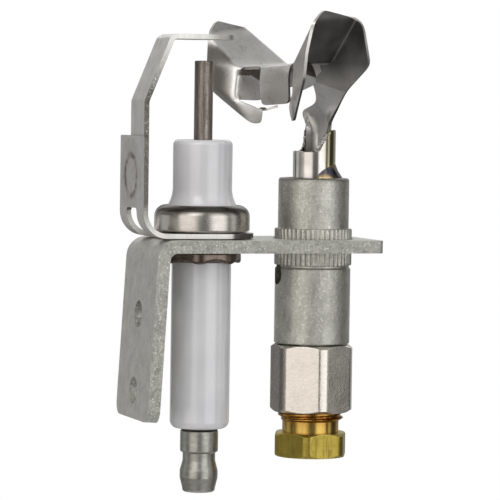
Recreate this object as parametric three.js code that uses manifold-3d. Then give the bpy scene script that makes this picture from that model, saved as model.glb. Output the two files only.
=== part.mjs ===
// Spark igniter and pilot burner on one L bracket.  Millimetres, +Z up.
// Drawn with X = 0 on the leg's outer face at plate level, Z = 0 on the plate's top face and
// Y = 0 on the bracket's centre line, then shifted so that the origin is the fixing face of the leg.
import * as THREE from 'three';
import { mergeVertices } from 'three/addons/utils/BufferGeometryUtils.js';
import Module from 'manifold-3d';

const wasm = await Module();
wasm.setup();

// ---- bracket ----
const METAL = 2.1;
const BRACKET_WIDTH = 19.05;
const PLATE_LENGTH = 39.2;
const LEG_DROP = 29.8;
const LEG_LEAN_DEG = 3.3;
const BEND_INNER_R = 1.3;
const PLATE_CORNER_R = 1.0;
const LEG_CORNER_R = 2.2;
const SCREW_HOLE_R = 2.25;
const SCREW_PITCH = 12.7;
const SCREW_TOP_DROP = 12.5;
const ELECTRODE_X = 10.3;
const BURNER_X = 29.9;
const ELECTRODE_HOLE_R = 5.3;
const BURNER_HOLE_R = 6.75;

// ---- clearances ----
const REST_GAP = 0.2;
const SLIP_GAP = 0.3;
const OVERLAP = 0.05;

// ---- ground strap ----
const STRAP_METAL = 0.8;
const FOOT_WIDTH = 14.3;
const FOOT_END_R = 7.15;
const FOOT_END_OFFSET = 1.5;
const STRAP_BEND_R = 3.4;
const TAB_FACE_X = -1.9;
const TAB_TOP = 17.0;
const TAB_CORNER_R = 0.4;
const SLOT_WIDTH = 6.0;
const SLOT_TOP = 4.9;
const ARM_METAL = 0.85;
const ARM_WIDTH = 8.0;
const ARM_LOW = 5.3;
const ARM_KNEE = 22.7;
const ARM_SHOULDER_RISE = 10.7;
const ARM_SHOULDER_RUN = 4.4;
const ARM_TIP_X = 15.4;
const ARM_TIP_R = 2.6;

// ---- spark electrode ----
const ROD_R = 1.55;
const ROD_TOP = 29.5;
const ROD_FOOT = -34.6;
const BORE_R = 1.85;
const CERAMIC_R = 4.9;
const CERAMIC_TOP = 16.4;
const CERAMIC_FOOT = -31.6;
const FLANGE_R = 6.7;
const CUP_R = 7.95;
const CUP_METAL = 0.7;
const CUP_FLOOR = 1.2;
const CUP_TOP = 5.6;
const RING_R = 6.65;
const RING_TOP = -METAL - REST_GAP;
const RING_FOOT = -4.2;
const RING_LOBES = 7;
const TERMINAL_TOP = -32.0;
const TERMINAL_FOOT = -42.3;
const TERMINAL_R = 3.175;
const TERMINAL_NECK_R = 2.8;

// ---- pilot burner ----
const BODY_UPPER_R = 5.95;
const BODY_LOWER_R = 6.35;
const BODY_TOP = 10.2;
const BODY_FOOT = -17.6;
const KNURL_TOP = 1.7;
const KNURL_FOOT = -4.4;
const KNURL_R = 6.5;
const KNURL_DEPTH = 0.28;
const KNURL_TEETH = 46;
const MIX_BORE_R = 2.6;
const SPUD_BORE_R = 4.0;
const SPUD_BORE_DEPTH = 4.4;
const AIR_HOLE_R = 1.75;
const AIR_HOLE_Z = -6.0;
const TUBE_R = 3.575;
const TUBE_WALL = 0.5;
const TUBE_FOOT = 3.0;
const TUBE_BACK_TOP = 18.3;
const TUBE_FRONT_TOP = 14.7;
const MOUTH_TURN_DEG = 18;
const MOUTH_LEFT = -1.84;

// ---- gas inlet ----
const HEX_FLATS = 12.7;
const HEX_CORNER_R = 6.95;
const HEX_TOP = -17.8;
const HEX_FOOT = -29.15;
const HEX_TURN_DEG = 28;
const SOCKET_R = 5.75;
const SOCKET_TOP = -21.0;
const SEAT_R = 4.6;
const SEAT_TOP = -18.9;
const ORIFICE_BORE_R = 2.3;
const SPUD_R = 3.7;
const SPUD_TOP = -13.6;
const THREAD_CREST_R = 5.5;
const THREAD_ROOT_R = 4.95;
const THREAD_PITCH = 1.058;
const THREAD_TOP = -24.0;
const NUT_NECK_TOP = -30.5;
const NUT_NECK_R = 4.75;
const NUT_HEAD_TOP = -32.6;
const NUT_FOOT = -36.7;
const NUT_FLATS = 11.5;
const NUT_TURN_DEG = 6;
const TUBE_BORE_R = 3.3;
const SLEEVE_R = 4.25;
const SLEEVE_LENGTH = 2.6;

// ---- hood ----
const HOOD_METAL = 0.5;
const HOOD_TURN_DEG = 27;
const HOOD_TILT_DEG = 3.6;
const HOOD_TILT_HEIGHT = 22;

const ROUND = 36;
const SMALL_ROUND = 24;
const DEG = Math.PI / 180;

// ---- geometry helpers ----
function solid(geometry) {
  const bare = geometry.clone();
  bare.deleteAttribute('normal');
  bare.deleteAttribute('uv');
  const welded = mergeVertices(bare, 1e-4);
  const source = welded.index.array;
  const kept = [];
  for (let i = 0; i < source.length; i += 3) {
    const [a, b, c] = [source[i], source[i + 1], source[i + 2]];
    if (a !== b && b !== c && c !== a) {
      kept.push(a, b, c);
    }
  }
  const vertProperties = new Float32Array(welded.attributes.position.array);
  const make = (order) => new wasm.Manifold(new wasm.Mesh({
    numProp: 3,
    vertProperties,
    triVerts: new Uint32Array(order),
  }));
  const body = make(kept);
  if (body.volume() > 0) {
    return body;
  }
  const flipped = [];
  for (let i = 0; i < kept.length; i += 3) {
    flipped.push(kept[i], kept[i + 2], kept[i + 1]);
  }
  return make(flipped);
}

function joined(bodies) {
  return bodies.reduce((sum, body) => sum.add(body));
}

// Solid of revolution about a vertical axis; the profile is a list of [radius, height].
function turned(profile, x = 0, y = 0, segments = ROUND) {
  const points = profile.map(([r, z]) => new THREE.Vector2(r, z));
  const geometry = new THREE.LatheGeometry(points, segments);
  geometry.rotateX(Math.PI / 2);
  geometry.translate(x, y, 0);
  return solid(geometry);
}

function cylinder(radius, low, high, x = 0, y = 0, segments = ROUND) {
  return turned([[0, low], [radius, low], [radius, high], [0, high]], x, y, segments);
}

function ring(inner, outer, low, high, x = 0, y = 0, segments = ROUND) {
  const profile = [[inner, low], [outer, low], [outer, high], [inner, high], [inner, low]];
  return turned(profile, x, y, segments);
}

// Quarter round between two headings, in degrees, as [x, y] points.
function arc(cx, cy, radius, from, to, steps = 4) {
  const points = [];
  for (let i = 0; i <= steps; i += 1) {
    const angle = (from + ((to - from) * i) / steps) * DEG;
    points.push([cx + radius * Math.cos(angle), cy + radius * Math.sin(angle)]);
  }
  return points;
}

function outline(points) {
  return new THREE.Shape(points.map(([x, y]) => new THREE.Vector2(x, y)));
}

function extruded(points, depth, matrix) {
  const geometry = new THREE.ExtrudeGeometry(outline(points), { depth, bevelEnabled: false });
  geometry.applyMatrix4(matrix);
  return solid(geometry);
}

function basis(xAxis, yAxis, zAxis, origin) {
  const matrix = new THREE.Matrix4().makeBasis(xAxis, yAxis, zAxis);
  return matrix.setPosition(origin);
}

const vec = (x, y, z) => new THREE.Vector3(x, y, z);
const AXIS_X = vec(1, 0, 0);
const AXIS_Y = vec(0, 1, 0);
const AXIS_Z = vec(0, 0, 1);

// Profile in the XZ plane carried across the width, centred on Y = 0.
function acrossWidth(points, width) {
  const matrix = basis(AXIS_X, AXIS_Z, vec(0, -1, 0), vec(0, width / 2, 0));
  return extruded(points, width, matrix);
}

// Flat sheet with a straight-line outline lying in the XY plane.
function laidFlat(points, low, high) {
  return extruded(points, high - low, basis(AXIS_X, AXIS_Y, AXIS_Z, vec(0, 0, low)));
}

function hexPrism(flats, low, high, turnDeg, x) {
  const radius = flats / Math.sqrt(3);
  const points = arc(0, 0, radius, turnDeg, turnDeg + 300, 5);
  return extruded(points, high - low, basis(AXIS_X, AXIS_Y, AXIS_Z, vec(x, 0, low)));
}

// Sheet of even thickness over a set of named corner points.  Every facet lists its corners the
// same way round, so two neighbours run along their shared edge in opposite directions.
function sheet(corners, facets, metal) {
  const names = Object.keys(corners);
  const normals = Object.fromEntries(names.map((name) => [name, []]));
  const triangles = [];
  facets.forEach((facet) => {
    for (let i = 1; i + 1 < facet.length; i += 1) {
      triangles.push([facet[0], facet[i], facet[i + 1]]);
    }
  });
  triangles.forEach((triangle) => {
    const [a, b, c] = triangle.map((name) => corners[name]);
    const normal = b.clone().sub(a).cross(c.clone().sub(a)).normalize();
    triangle.forEach((name) => {
      if (!normals[name].some((other) => other.dot(normal) > 0.995)) {
        normals[name].push(normal);
      }
    });
  });
  const positions = [];
  const index = {};
  names.forEach((name) => {
    const middle = normals[name].reduce((sum, n) => sum.add(n), vec(0, 0, 0)).normalize();
    const spread = normals[name].reduce((sum, n) => sum + n.dot(middle), 0) / normals[name].length;
    const offset = middle.multiplyScalar(metal / 2 / spread);
    index[name] = positions.length / 3;
    positions.push(...corners[name].clone().add(offset).toArray());
    positions.push(...corners[name].clone().sub(offset).toArray());
  });
  const order = [];
  const edges = new Set(triangles.flatMap(([a, b, c]) => [`${a}>${b}`, `${b}>${c}`, `${c}>${a}`]));
  triangles.forEach(([a, b, c]) => {
    order.push(index[a], index[b], index[c]);
    order.push(index[a] + 1, index[c] + 1, index[b] + 1);
    [[a, b], [b, c], [c, a]].forEach(([p, q]) => {
      if (!edges.has(`${q}>${p}`)) {
        order.push(index[q], index[p], index[p] + 1);
        order.push(index[q], index[p] + 1, index[q] + 1);
      }
    });
  });
  const geometry = new THREE.BufferGeometry();
  geometry.setAttribute('position', new THREE.Float32BufferAttribute(positions, 3));
  geometry.setIndex(order);
  return solid(geometry);
}

// ---- bracket ----
const lean = LEG_LEAN_DEG * DEG;
const bendOuterR = BEND_INNER_R + METAL;
const bendCentre = [bendOuterR, -bendOuterR];
const legLength = LEG_DROP - bendOuterR;
const legDown = vec(-Math.sin(lean), 0, -Math.cos(lean));
const legInward = vec(Math.cos(lean), 0, -Math.sin(lean));
const legTop = vec(
  bendCentre[0] - bendOuterR * Math.cos(lean),
  0,
  bendCentre[1] + bendOuterR * Math.sin(lean),
);

function legPoint(drop) {
  return legTop.clone().addScaledVector(legDown, (-drop - legTop.z) / legDown.z);
}

function roundedEnd(length, width, radius) {
  const half = width / 2;
  return [
    [-OVERLAP, -half],
    ...arc(length - radius, -half + radius, radius, -90, 0),
    ...arc(length - radius, half - radius, radius, 0, 90),
    [-OVERLAP, half],
  ];
}

function crossHole(centre, radius) {
  const geometry = new THREE.CylinderGeometry(radius, radius, METAL * 3, SMALL_ROUND);
  const turn = new THREE.Quaternion().setFromUnitVectors(AXIS_Y, legInward);
  geometry.applyQuaternion(turn);
  geometry.translate(centre.x, centre.y, centre.z);
  return solid(geometry);
}

function buildBracket() {
  const flat = roundedEnd(PLATE_LENGTH - bendOuterR, BRACKET_WIDTH, PLATE_CORNER_R)
    .map(([x, y]) => [x + bendOuterR, y]);
  const plate = laidFlat(flat, -METAL, 0);
  const bend = acrossWidth([
    ...arc(...bendCentre, bendOuterR, 90, 180 - LEG_LEAN_DEG, 8),
    ...arc(...bendCentre, BEND_INNER_R, 180 - LEG_LEAN_DEG, 90, 6),
  ], BRACKET_WIDTH);
  const legOutline = roundedEnd(legLength / Math.cos(lean), BRACKET_WIDTH, LEG_CORNER_R);
  const leg = extruded(legOutline, METAL, basis(legDown, vec(0, -1, 0), legInward, legTop));
  return joined([plate, bend, leg])
    .subtract(crossHole(legPoint(SCREW_TOP_DROP), SCREW_HOLE_R))
    .subtract(crossHole(legPoint(SCREW_TOP_DROP + SCREW_PITCH * Math.cos(lean)), SCREW_HOLE_R))
    .subtract(cylinder(ELECTRODE_HOLE_R, -METAL - 1, 1, ELECTRODE_X))
    .subtract(cylinder(BURNER_HOLE_R, -METAL - 1, 1, BURNER_X));
}

// ---- ground strap ----
const footLow = REST_GAP;
const footHigh = footLow + STRAP_METAL;
const strapBendX = TAB_FACE_X + STRAP_METAL + STRAP_BEND_R;
const strapBendZ = footHigh + STRAP_BEND_R;

function buildStrapFoot() {
  const endX = ELECTRODE_X + FOOT_END_OFFSET;
  const half = FOOT_WIDTH / 2;
  const flat = [
    [strapBendX - OVERLAP, -half],
    ...arc(endX, 0, FOOT_END_R, -90, 90, 18),
    [strapBendX - OVERLAP, half],
  ];
  const foot = laidFlat(flat, footLow, footHigh);
  const bend = acrossWidth([
    ...arc(strapBendX, strapBendZ, STRAP_BEND_R + STRAP_METAL, 180, 270, 8),
    ...arc(strapBendX, strapBendZ, STRAP_BEND_R, 270, 180, 8),
  ], FOOT_WIDTH);
  const tabOutline = roundedEnd(TAB_TOP - strapBendZ, FOOT_WIDTH, TAB_CORNER_R);
  const tabMatrix = basis(AXIS_Z, vec(0, -1, 0), AXIS_X, vec(TAB_FACE_X, 0, strapBendZ));
  const tab = extruded(tabOutline, STRAP_METAL, tabMatrix);
  const slotHalf = SLOT_WIDTH / 2;
  const slotOutline = [
    [strapBendX + 0.5, -slotHalf],
    [strapBendX + 0.5, slotHalf],
    [TAB_FACE_X - 1, slotHalf],
    [TAB_FACE_X - 1, -slotHalf],
  ];
  const slot = laidFlat(slotOutline, -1, SLOT_TOP);
  return joined([foot, bend, tab])
    .subtract(slot)
    .subtract(cylinder(ELECTRODE_HOLE_R, -1, 3, ELECTRODE_X));
}

function buildStrapArm() {
  const inner = TAB_FACE_X + STRAP_METAL + REST_GAP;
  const leanAngle = Math.atan2(ARM_SHOULDER_RUN, ARM_SHOULDER_RISE);
  const centreX = inner + ARM_METAL / 2;
  const kneeTop = [centreX, ARM_KNEE];
  const shoulder = [centreX + ARM_SHOULDER_RUN, ARM_KNEE + ARM_SHOULDER_RISE];
  const half = ARM_METAL / 2;
  const kneeShift = half * Math.tan(leanAngle / 2);
  const shoulderShift = half * Math.tan((Math.PI / 2 - leanAngle) / 2);
  const side = [
    [centreX - half, ARM_LOW],
    [centreX + half, ARM_LOW],
    [kneeTop[0] + half, kneeTop[1] - kneeShift],
    [shoulder[0] + shoulderShift, shoulder[1] - half],
    [ARM_TIP_X, shoulder[1] - half],
    [ARM_TIP_X, shoulder[1] + half],
    [shoulder[0] - shoulderShift, shoulder[1] + half],
    [kneeTop[0] - half, kneeTop[1] + kneeShift],
  ];
  const strip = acrossWidth(side, ARM_WIDTH);
  const halfWidth = ARM_WIDTH / 2;
  const plan = laidFlat([
    [centreX - 2, -halfWidth],
    [ARM_TIP_X - 2 * ARM_TIP_R, -halfWidth],
    ...arc(ARM_TIP_X - ARM_TIP_R, 0, ARM_TIP_R, -80, 80, 10),
    [ARM_TIP_X - 2 * ARM_TIP_R, halfWidth],
    [centreX - 2, halfWidth],
  ], ARM_LOW - 1, shoulder[1] + 1);
  return strip.intersect(plan);
}

// ---- spark electrode ----
function buildRod() {
  const chamfer = 0.15;
  return turned([
    [0, ROD_FOOT],
    [ROD_R, ROD_FOOT],
    [ROD_R, ROD_TOP - chamfer],
    [ROD_R - chamfer, ROD_TOP],
    [0, ROD_TOP],
  ], ELECTRODE_X, 0, SMALL_ROUND);
}

function buildInsulator() {
  const footR = 1.3;
  const topR = 0.9;
  const flareTop = 8.2;
  const flareLow = CUP_TOP - 0.3;
  const mouthR = 5.75;
  const flangeTop = CUP_TOP - CUP_METAL - SLIP_GAP;
  const flangeLow = CUP_FLOOR + CUP_METAL + 0.9;
  const flare = [];
  for (let i = 0; i <= 4; i += 1) {
    const t = i / 4;
    flare.push([CERAMIC_R + (mouthR - CERAMIC_R) * (1 - t) ** 2, flareLow + (flareTop - flareLow) * t]);
  }
  return turned([
    [BORE_R, CERAMIC_FOOT],
    ...arc(CERAMIC_R - footR, CERAMIC_FOOT + footR, footR, -90, 0),
    [CERAMIC_R, flangeLow],
    [FLANGE_R, flangeLow],
    [FLANGE_R, flangeTop - 0.6],
    [mouthR + 0.05, flangeTop],
    ...flare,
    ...arc(CERAMIC_R - topR, CERAMIC_TOP - topR, topR, 0, 90),
    [BORE_R, CERAMIC_TOP],
    [BORE_R, CERAMIC_FOOT],
  ], ELECTRODE_X);
}

function buildFerruleCup() {
  const lip = 1.7;
  const innerR = CUP_R - CUP_METAL;
  const mouthR = 6.1;
  return turned([
    [ELECTRODE_HOLE_R, CUP_FLOOR],
    [CUP_R - 0.3, CUP_FLOOR],
    [CUP_R, CUP_FLOOR + 0.3],
    ...arc(CUP_R - lip, CUP_TOP - lip, lip, 0, 90),
    [mouthR, CUP_TOP],
    [mouthR, CUP_TOP - CUP_METAL],
    ...arc(innerR - 0.6, CUP_TOP - CUP_METAL - 0.6, 0.6, 90, 0, 4),
    [innerR, CUP_FLOOR + CUP_METAL],
    [ELECTRODE_HOLE_R, CUP_FLOOR + CUP_METAL],
    [ELECTRODE_HOLE_R, CUP_FLOOR],
  ], ELECTRODE_X);
}

function buildCupGasket() {
  const low = CUP_FLOOR + CUP_METAL + REST_GAP;
  return ring(ELECTRODE_HOLE_R, FLANGE_R, low, low + 0.5, ELECTRODE_X);
}

function buildRetainingRing() {
  const inner = CERAMIC_R + SLIP_GAP;
  const wave = 0.35;
  const lobes = [];
  const around = RING_LOBES * 10;
  for (let i = 0; i < around; i += 1) {
    const angle = (i / around) * 360 * DEG;
    const radius = RING_R - 0.12 + 0.12 * Math.cos(RING_LOBES * angle);
    lobes.push([radius * Math.cos(angle), radius * Math.sin(angle)]);
  }
  const depth = RING_TOP - RING_FOOT;
  const geometry = new THREE.ExtrudeGeometry(outline(lobes), { depth, bevelEnabled: false });
  const place = geometry.attributes.position;
  for (let i = 0; i < place.count; i += 1) {
    if (place.getZ(i) < depth / 2) {
      const angle = Math.atan2(place.getY(i), place.getX(i));
      place.setZ(i, wave * (1 - Math.cos(RING_LOBES * angle)) / 2);
    }
  }
  geometry.translate(ELECTRODE_X, 0, RING_FOOT);
  return solid(geometry)
    .subtract(cylinder(inner, RING_FOOT - 1, RING_TOP + 1, ELECTRODE_X));
}

function buildTerminalGasket() {
  const high = CERAMIC_FOOT - 0.1;
  return ring(BORE_R, 3.1, high - 0.2, high, ELECTRODE_X, 0, SMALL_ROUND);
}

function buildTerminal() {
  const grooveTop = -35.6;
  const grooveFoot = -37.2;
  const bulge = -39.2;
  const tipR = 2.7;
  const socketFoot = ROD_FOOT - SLIP_GAP;
  return turned([
    [0, TERMINAL_FOOT],
    [tipR - 0.9, TERMINAL_FOOT],
    [tipR - 0.2, TERMINAL_FOOT + 0.35],
    [tipR, TERMINAL_FOOT + 1.0],
    [TERMINAL_R, bulge],
    [TERMINAL_R - 0.1, bulge + 1.2],
    [TERMINAL_NECK_R, grooveFoot],
    [TERMINAL_NECK_R, grooveTop],
    [TERMINAL_R, grooveTop + 0.3],
    [TERMINAL_R, TERMINAL_TOP - 0.2],
    [TERMINAL_R - 0.2, TERMINAL_TOP],
    [BORE_R, TERMINAL_TOP],
    [BORE_R, socketFoot],
    [0, socketFoot],
  ], ELECTRODE_X, 0, SMALL_ROUND);
}

// ---- pilot burner ----
function knurl(low, high) {
  const points = [];
  for (let i = 0; i < KNURL_TEETH; i += 1) {
    const step = 360 / KNURL_TEETH;
    points.push(...arc(0, 0, KNURL_R, (i - 0.3) * step, (i + 0.3) * step, 1));
    points.push(...arc(0, 0, KNURL_R - KNURL_DEPTH, (i + 0.42) * step, (i + 0.58) * step, 1));
  }
  return extruded(points, high - low, basis(AXIS_X, AXIS_Y, AXIS_Z, vec(BURNER_X, 0, low)));
}

function buildBurnerBody() {
  const edge = 0.8;
  const recess = 0.5;
  const recessR = 4.7;
  const shoulder = -5.0;
  const spudTop = BODY_FOOT + SPUD_BORE_DEPTH;
  const seatR = TUBE_R + SLIP_GAP;
  const outer = turned([
    [0, BODY_FOOT],
    [BODY_LOWER_R - 0.3, BODY_FOOT],
    [BODY_LOWER_R, BODY_FOOT + 0.3],
    [BODY_LOWER_R, shoulder],
    [BODY_UPPER_R, shoulder + 0.3],
    ...arc(BODY_UPPER_R - edge, BODY_TOP - edge, edge, 0, 90),
    [recessR, BODY_TOP],
    [recessR - 0.4, BODY_TOP - recess],
    [0, BODY_TOP - recess],
  ], BURNER_X);
  const airHole = new THREE.CylinderGeometry(AIR_HOLE_R, AIR_HOLE_R, BODY_LOWER_R + 2, SMALL_ROUND);
  airHole.rotateZ(Math.PI / 2);
  airHole.translate(BURNER_X - BODY_LOWER_R / 2 - 1, 0, AIR_HOLE_Z);
  return outer
    .add(knurl(KNURL_FOOT, KNURL_TOP))
    .subtract(cylinder(seatR, TUBE_FOOT - SLIP_GAP, BODY_TOP + 1, BURNER_X))
    .subtract(cylinder(MIX_BORE_R, spudTop - 1, TUBE_FOOT, BURNER_X))
    .subtract(cylinder(SPUD_BORE_R, BODY_FOOT - 1, spudTop, BURNER_X))
    .subtract(solid(airHole));
}

// Hood directions: U along the wings, V towards the curled tab, W up the burner's axis.
const hoodTurn = HOOD_TURN_DEG * DEG;
const hoodTilt = HOOD_TILT_DEG * DEG;
const hoodU = vec(Math.sin(hoodTurn), -Math.cos(hoodTurn), 0);
const hoodV = vec(-Math.cos(hoodTurn), -Math.sin(hoodTurn), 0);

function level(u, v, w) {
  return vec(BURNER_X, 0, w).addScaledVector(hoodU, u).addScaledVector(hoodV, v);
}

function hood(u, v, w) {
  const rise = w - HOOD_TILT_HEIGHT;
  const along = u * Math.cos(hoodTilt) - rise * Math.sin(hoodTilt);
  const height = HOOD_TILT_HEIGHT + u * Math.sin(hoodTilt) + rise * Math.cos(hoodTilt);
  return level(along, v, height);
}

// The tube's mouth is cut away on one side, and its edge climbs to the right as a slant.
const mouthTurn = MOUTH_TURN_DEG * DEG;
const mouthAcross = vec(Math.cos(mouthTurn), -Math.sin(mouthTurn), 0);
const mouthOut = vec(-Math.sin(mouthTurn), -Math.cos(mouthTurn), 0);

function mouthPoint(across, out, z) {
  return vec(BURNER_X, 0, z).addScaledVector(mouthAcross, across).addScaledVector(mouthOut, out);
}

function buildBurnerTube() {
  const reach = 2 * TUBE_R;
  const above = TUBE_BACK_TOP + 1;
  const front = [
    [-reach, above],
    [-reach, TUBE_FRONT_TOP],
    [0.5, TUBE_FRONT_TOP],
    [1.0, TUBE_FRONT_TOP + 0.3],
    [2.0, TUBE_FRONT_TOP + 2.5],
    [3.1, TUBE_BACK_TOP],
    [3.1, above],
  ];
  const side = [
    [-reach, above],
    [-reach, TUBE_FRONT_TOP],
    [MOUTH_LEFT - 0.8, TUBE_FRONT_TOP],
    [MOUTH_LEFT - 0.2, TUBE_FRONT_TOP + 0.6],
    [MOUTH_LEFT, TUBE_FRONT_TOP + 1.6],
    [MOUTH_LEFT, above],
  ];
  const frontPlace = basis(mouthAcross, AXIS_Z, mouthOut, mouthPoint(0, 0, 0));
  const sidePlace = basis(mouthAcross, AXIS_Z, mouthOut, mouthPoint(0, -reach, 0));
  return ring(TUBE_R - TUBE_WALL, TUBE_R, TUBE_FOOT, TUBE_BACK_TOP, BURNER_X)
    .subtract(extruded(front, reach, frontPlace))
    .subtract(extruded(side, 2 * reach, sidePlace));
}

function buildTubeFillet() {
  const low = BODY_TOP - 0.5 + REST_GAP;
  const inner = TUBE_R + REST_GAP;
  const skirt = turned([
    [inner, low],
    [4.3, low],
    [4.6, BODY_TOP + 0.1],
    [inner + 0.15, BODY_TOP + 1.8],
    [inner, BODY_TOP + 1.8],
    [inner, low],
  ], BURNER_X);
  const halfSpace = new THREE.BoxGeometry(20, 20, 10);
  halfSpace.rotateZ(-18 * DEG);
  const away = vec(Math.cos(18 * DEG), -Math.sin(18 * DEG), 0).multiplyScalar(10.6);
  halfSpace.translate(BURNER_X + away.x, away.y, BODY_TOP);
  return skirt.intersect(solid(halfSpace));
}

// Corners of the right-hand wing; the left-hand one is its mirror image in U.
function wingCorners(side) {
  const at = (u, v, w) => hood(side * u, v, w);
  return {
    tailTip: at(3.7, 9.15, 19.5),
    tailOuter: at(4.85, 10.1, 19.4),
    tailInner: at(3.2, 9.3, 21.5),
    lowerCorner: at(10.95, 13.8, 25.6),
    outerEdge: at(11.6, 13.6, 30.3),
    crease: at(12.2, 12.5, 35.1),
    topFront: at(12.5, 10.4, 37.2),
    topBack: at(12.7, 2.9, 36.0),
    backRound: at(13.7, 2.45, 35.2),
    ridge: at(4.9, 0.9, 29.3),
    windowTop: at(6.4, 11.4, 28.7),
    windowLow: at(6.65, 12.2, 23.6),
    roofFront: at(3.4, 8.5, 28.8),
    backTop: at(14.0, 2.3, 33.8),
    backSide: at(13.6, 0.8, 28.2),
    backLow: side > 0 ? at(6.9, -0.4, 24.3) : at(6.0, 0.0, 25.6),
    vaneTop: at(6.45, 11.55, 27.6),
    vaneFar: at(6.3, 6.2, 26.5),
    vaneFoot: side > 0 ? at(6.3, 6.2, 25.5) : at(6.3, 6.2, 23.4),
    vaneRoof: at(5.3, 6.2, 28.9),
    tab1: at(3.35, 9.0, 28.5),
    tab2: at(3.3, 9.35, 27.6),
    tab3: at(3.3, 9.45, 25.0),
    tab4: at(3.2, 9.3, 22.4),
    neck1: at(4.2, -1.1, 21.7),
    neck2: at(2.7, -0.6, 19.2),
    neck3: level(side * 2.55, -0.35, 17.6),
    neck4: level(side * 2.55, -0.35, 11.5),
    spine1: at(1.4, -1.25, 21.7),
    spine2: at(1.5, -1.9, 19.2),
    spine3: level(side * 1.45, -2.2, 17.6),
    spine4: level(side * 1.45, -2.2, 11.5),
  };
}

const WING_FACETS = [
  ['windowLow', 'vaneTop', 'outerEdge', 'lowerCorner'],
  ['vaneTop', 'windowTop', 'outerEdge'],
  ['windowTop', 'crease', 'outerEdge'],
  ['windowLow', 'lowerCorner', 'tailOuter'],
  ['tailOuter', 'tailTip', 'tailInner', 'windowLow'],
  ['crease', 'topBack', 'topFront'],
  ['windowTop', 'topBack', 'crease'],
  ['topBack', 'windowTop', 'ridge'],
  ['ridge', 'windowTop', 'roofFront'],
  ['topBack', 'ridge', 'backTop', 'backRound'],
  ['backTop', 'ridge', 'backSide'],
  ['backSide', 'ridge', 'backLow'],
  ['backLow', 'ridge', 'middle'],
  ['vaneTop', 'windowLow', 'vaneFoot', 'vaneFar'],
  ['windowTop', 'vaneTop', 'vaneFar', 'vaneRoof'],
  ['spine4', 'neck4', 'neck3', 'spine3'],
  ['spine3', 'neck3', 'neck2', 'spine2'],
  ['spine2', 'neck2', 'neck1', 'spine1'],
];

function buildHood() {
  const corners = { middle: hood(0, 0.2, 26.6), neckTop: hood(0, -0.9, 22.9) };
  const sides = [['R', 1], ['L', -1]];
  sides.forEach(([letter, side]) => {
    Object.entries(wingCorners(side)).forEach(([name, place]) => {
      corners[name + letter] = place;
    });
  });
  const lettered = (facet, letter) => facet.map((name) => (name === 'middle' ? name : name + letter));
  const facets = WING_FACETS.map((facet) => lettered(facet, 'R'));
  WING_FACETS.forEach((facet) => facets.push(lettered(facet, 'L').reverse()));
  facets.push(['ridgeR', 'roofFrontR', 'roofFrontL', 'ridgeL']);
  facets.push(['middle', 'ridgeR', 'ridgeL']);
  facets.push(['backLowR', 'middle', 'neck1R']);
  facets.push(['middle', 'neckTop', 'neck1R']);
  facets.push(['neckTop', 'spine1R', 'neck1R']);
  facets.push(['neckTop', 'neck1L', 'spine1L']);
  facets.push(['neckTop', 'spine1L', 'spine1R']);
  const ribbons = [
    ['roofFront', 'tab1', 'tab2', 'tab3', 'tab4'],
    ['spine4', 'spine3', 'spine2', 'spine1'],
  ];
  ribbons.forEach((names) => {
    for (let i = 0; i + 1 < names.length; i += 1) {
      const [near, next] = [names[i], names[i + 1]];
      facets.push([`${near}L`, `${near}R`, `${next}R`, `${next}L`]);
    }
  });
  return sheet(corners, facets, HOOD_METAL);
}

// Row of overlapping lumps of weld metal, each as a centre and a radius.
function weldBead(lumps) {
  return joined(lumps.map(([centre, radius]) => {
    const ball = new THREE.SphereGeometry(radius, 12, 8);
    ball.rotateX(Math.PI / 2);
    ball.translate(centre.x, centre.y, centre.z);
    return solid(ball);
  }));
}

// Beside the tube's slanted edge.
function buildRightWeld() {
  return weldBead([
    [mouthPoint(0.3, 3.25, 15.45), 0.5],
    [mouthPoint(0.62, 3.2, 16.15), 0.5],
    [mouthPoint(0.98, 3.1, 16.85), 0.5],
    [mouthPoint(1.35, 3.0, 17.5), 0.45],
  ]);
}

// Beside the left edge of the hood's neck.
function buildLeftWeld() {
  return weldBead([
    [level(-2.95, 0.5, 16.5), 0.45],
    [level(-3.0, 0.5, 17.2), 0.5],
  ]);
}

// ---- gas inlet ----
function chamferedHex(flats, cornerR, low, high, chamferRun, chamferRise, turnDeg) {
  const envelope = turned([
    [0, low],
    [cornerR - chamferRun, low],
    [cornerR, low + chamferRise],
    [cornerR, high - chamferRise],
    [cornerR - chamferRun, high],
    [0, high],
  ], BURNER_X);
  return hexPrism(flats, low, high, turnDeg, BURNER_X).intersect(envelope);
}

function buildInletFitting() {
  const hex = chamferedHex(HEX_FLATS, HEX_CORNER_R, HEX_FOOT, HEX_TOP, 0.9, 0.6, HEX_TURN_DEG);
  return hex
    .add(cylinder(SPUD_R, HEX_TOP - 1, SPUD_TOP, BURNER_X))
    .subtract(cylinder(SOCKET_R, HEX_FOOT - 1, SOCKET_TOP, BURNER_X))
    .subtract(cylinder(SEAT_R, SOCKET_TOP - 1, SEAT_TOP, BURNER_X))
    .subtract(cylinder(ORIFICE_BORE_R, SEAT_TOP - 1, SPUD_TOP + 1, BURNER_X, 0, SMALL_ROUND));
}

function buildOrifice() {
  const r = ORIFICE_BORE_R - SLIP_GAP;
  return turned([
    [0.8, -18.6],
    [r, -18.6],
    [r, -15.2],
    [r - 0.7, -14.4],
    [0.3, -14.4],
    [0.3, -15.8],
    [0.8, -16.8],
    [0.8, -18.6],
  ], BURNER_X, 0, SMALL_ROUND);
}

function buildSleeve() {
  const low = THREAD_TOP + REST_GAP;
  const high = low + SLEEVE_LENGTH;
  return turned([
    [TUBE_BORE_R, low],
    [SLEEVE_R - 0.5, low],
    [SLEEVE_R, low + 0.7],
    [SLEEVE_R, high - 0.7],
    [SLEEVE_R - 0.5, high],
    [TUBE_BORE_R, high],
    [TUBE_BORE_R, low],
  ], BURNER_X, 0, SMALL_ROUND);
}

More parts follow.
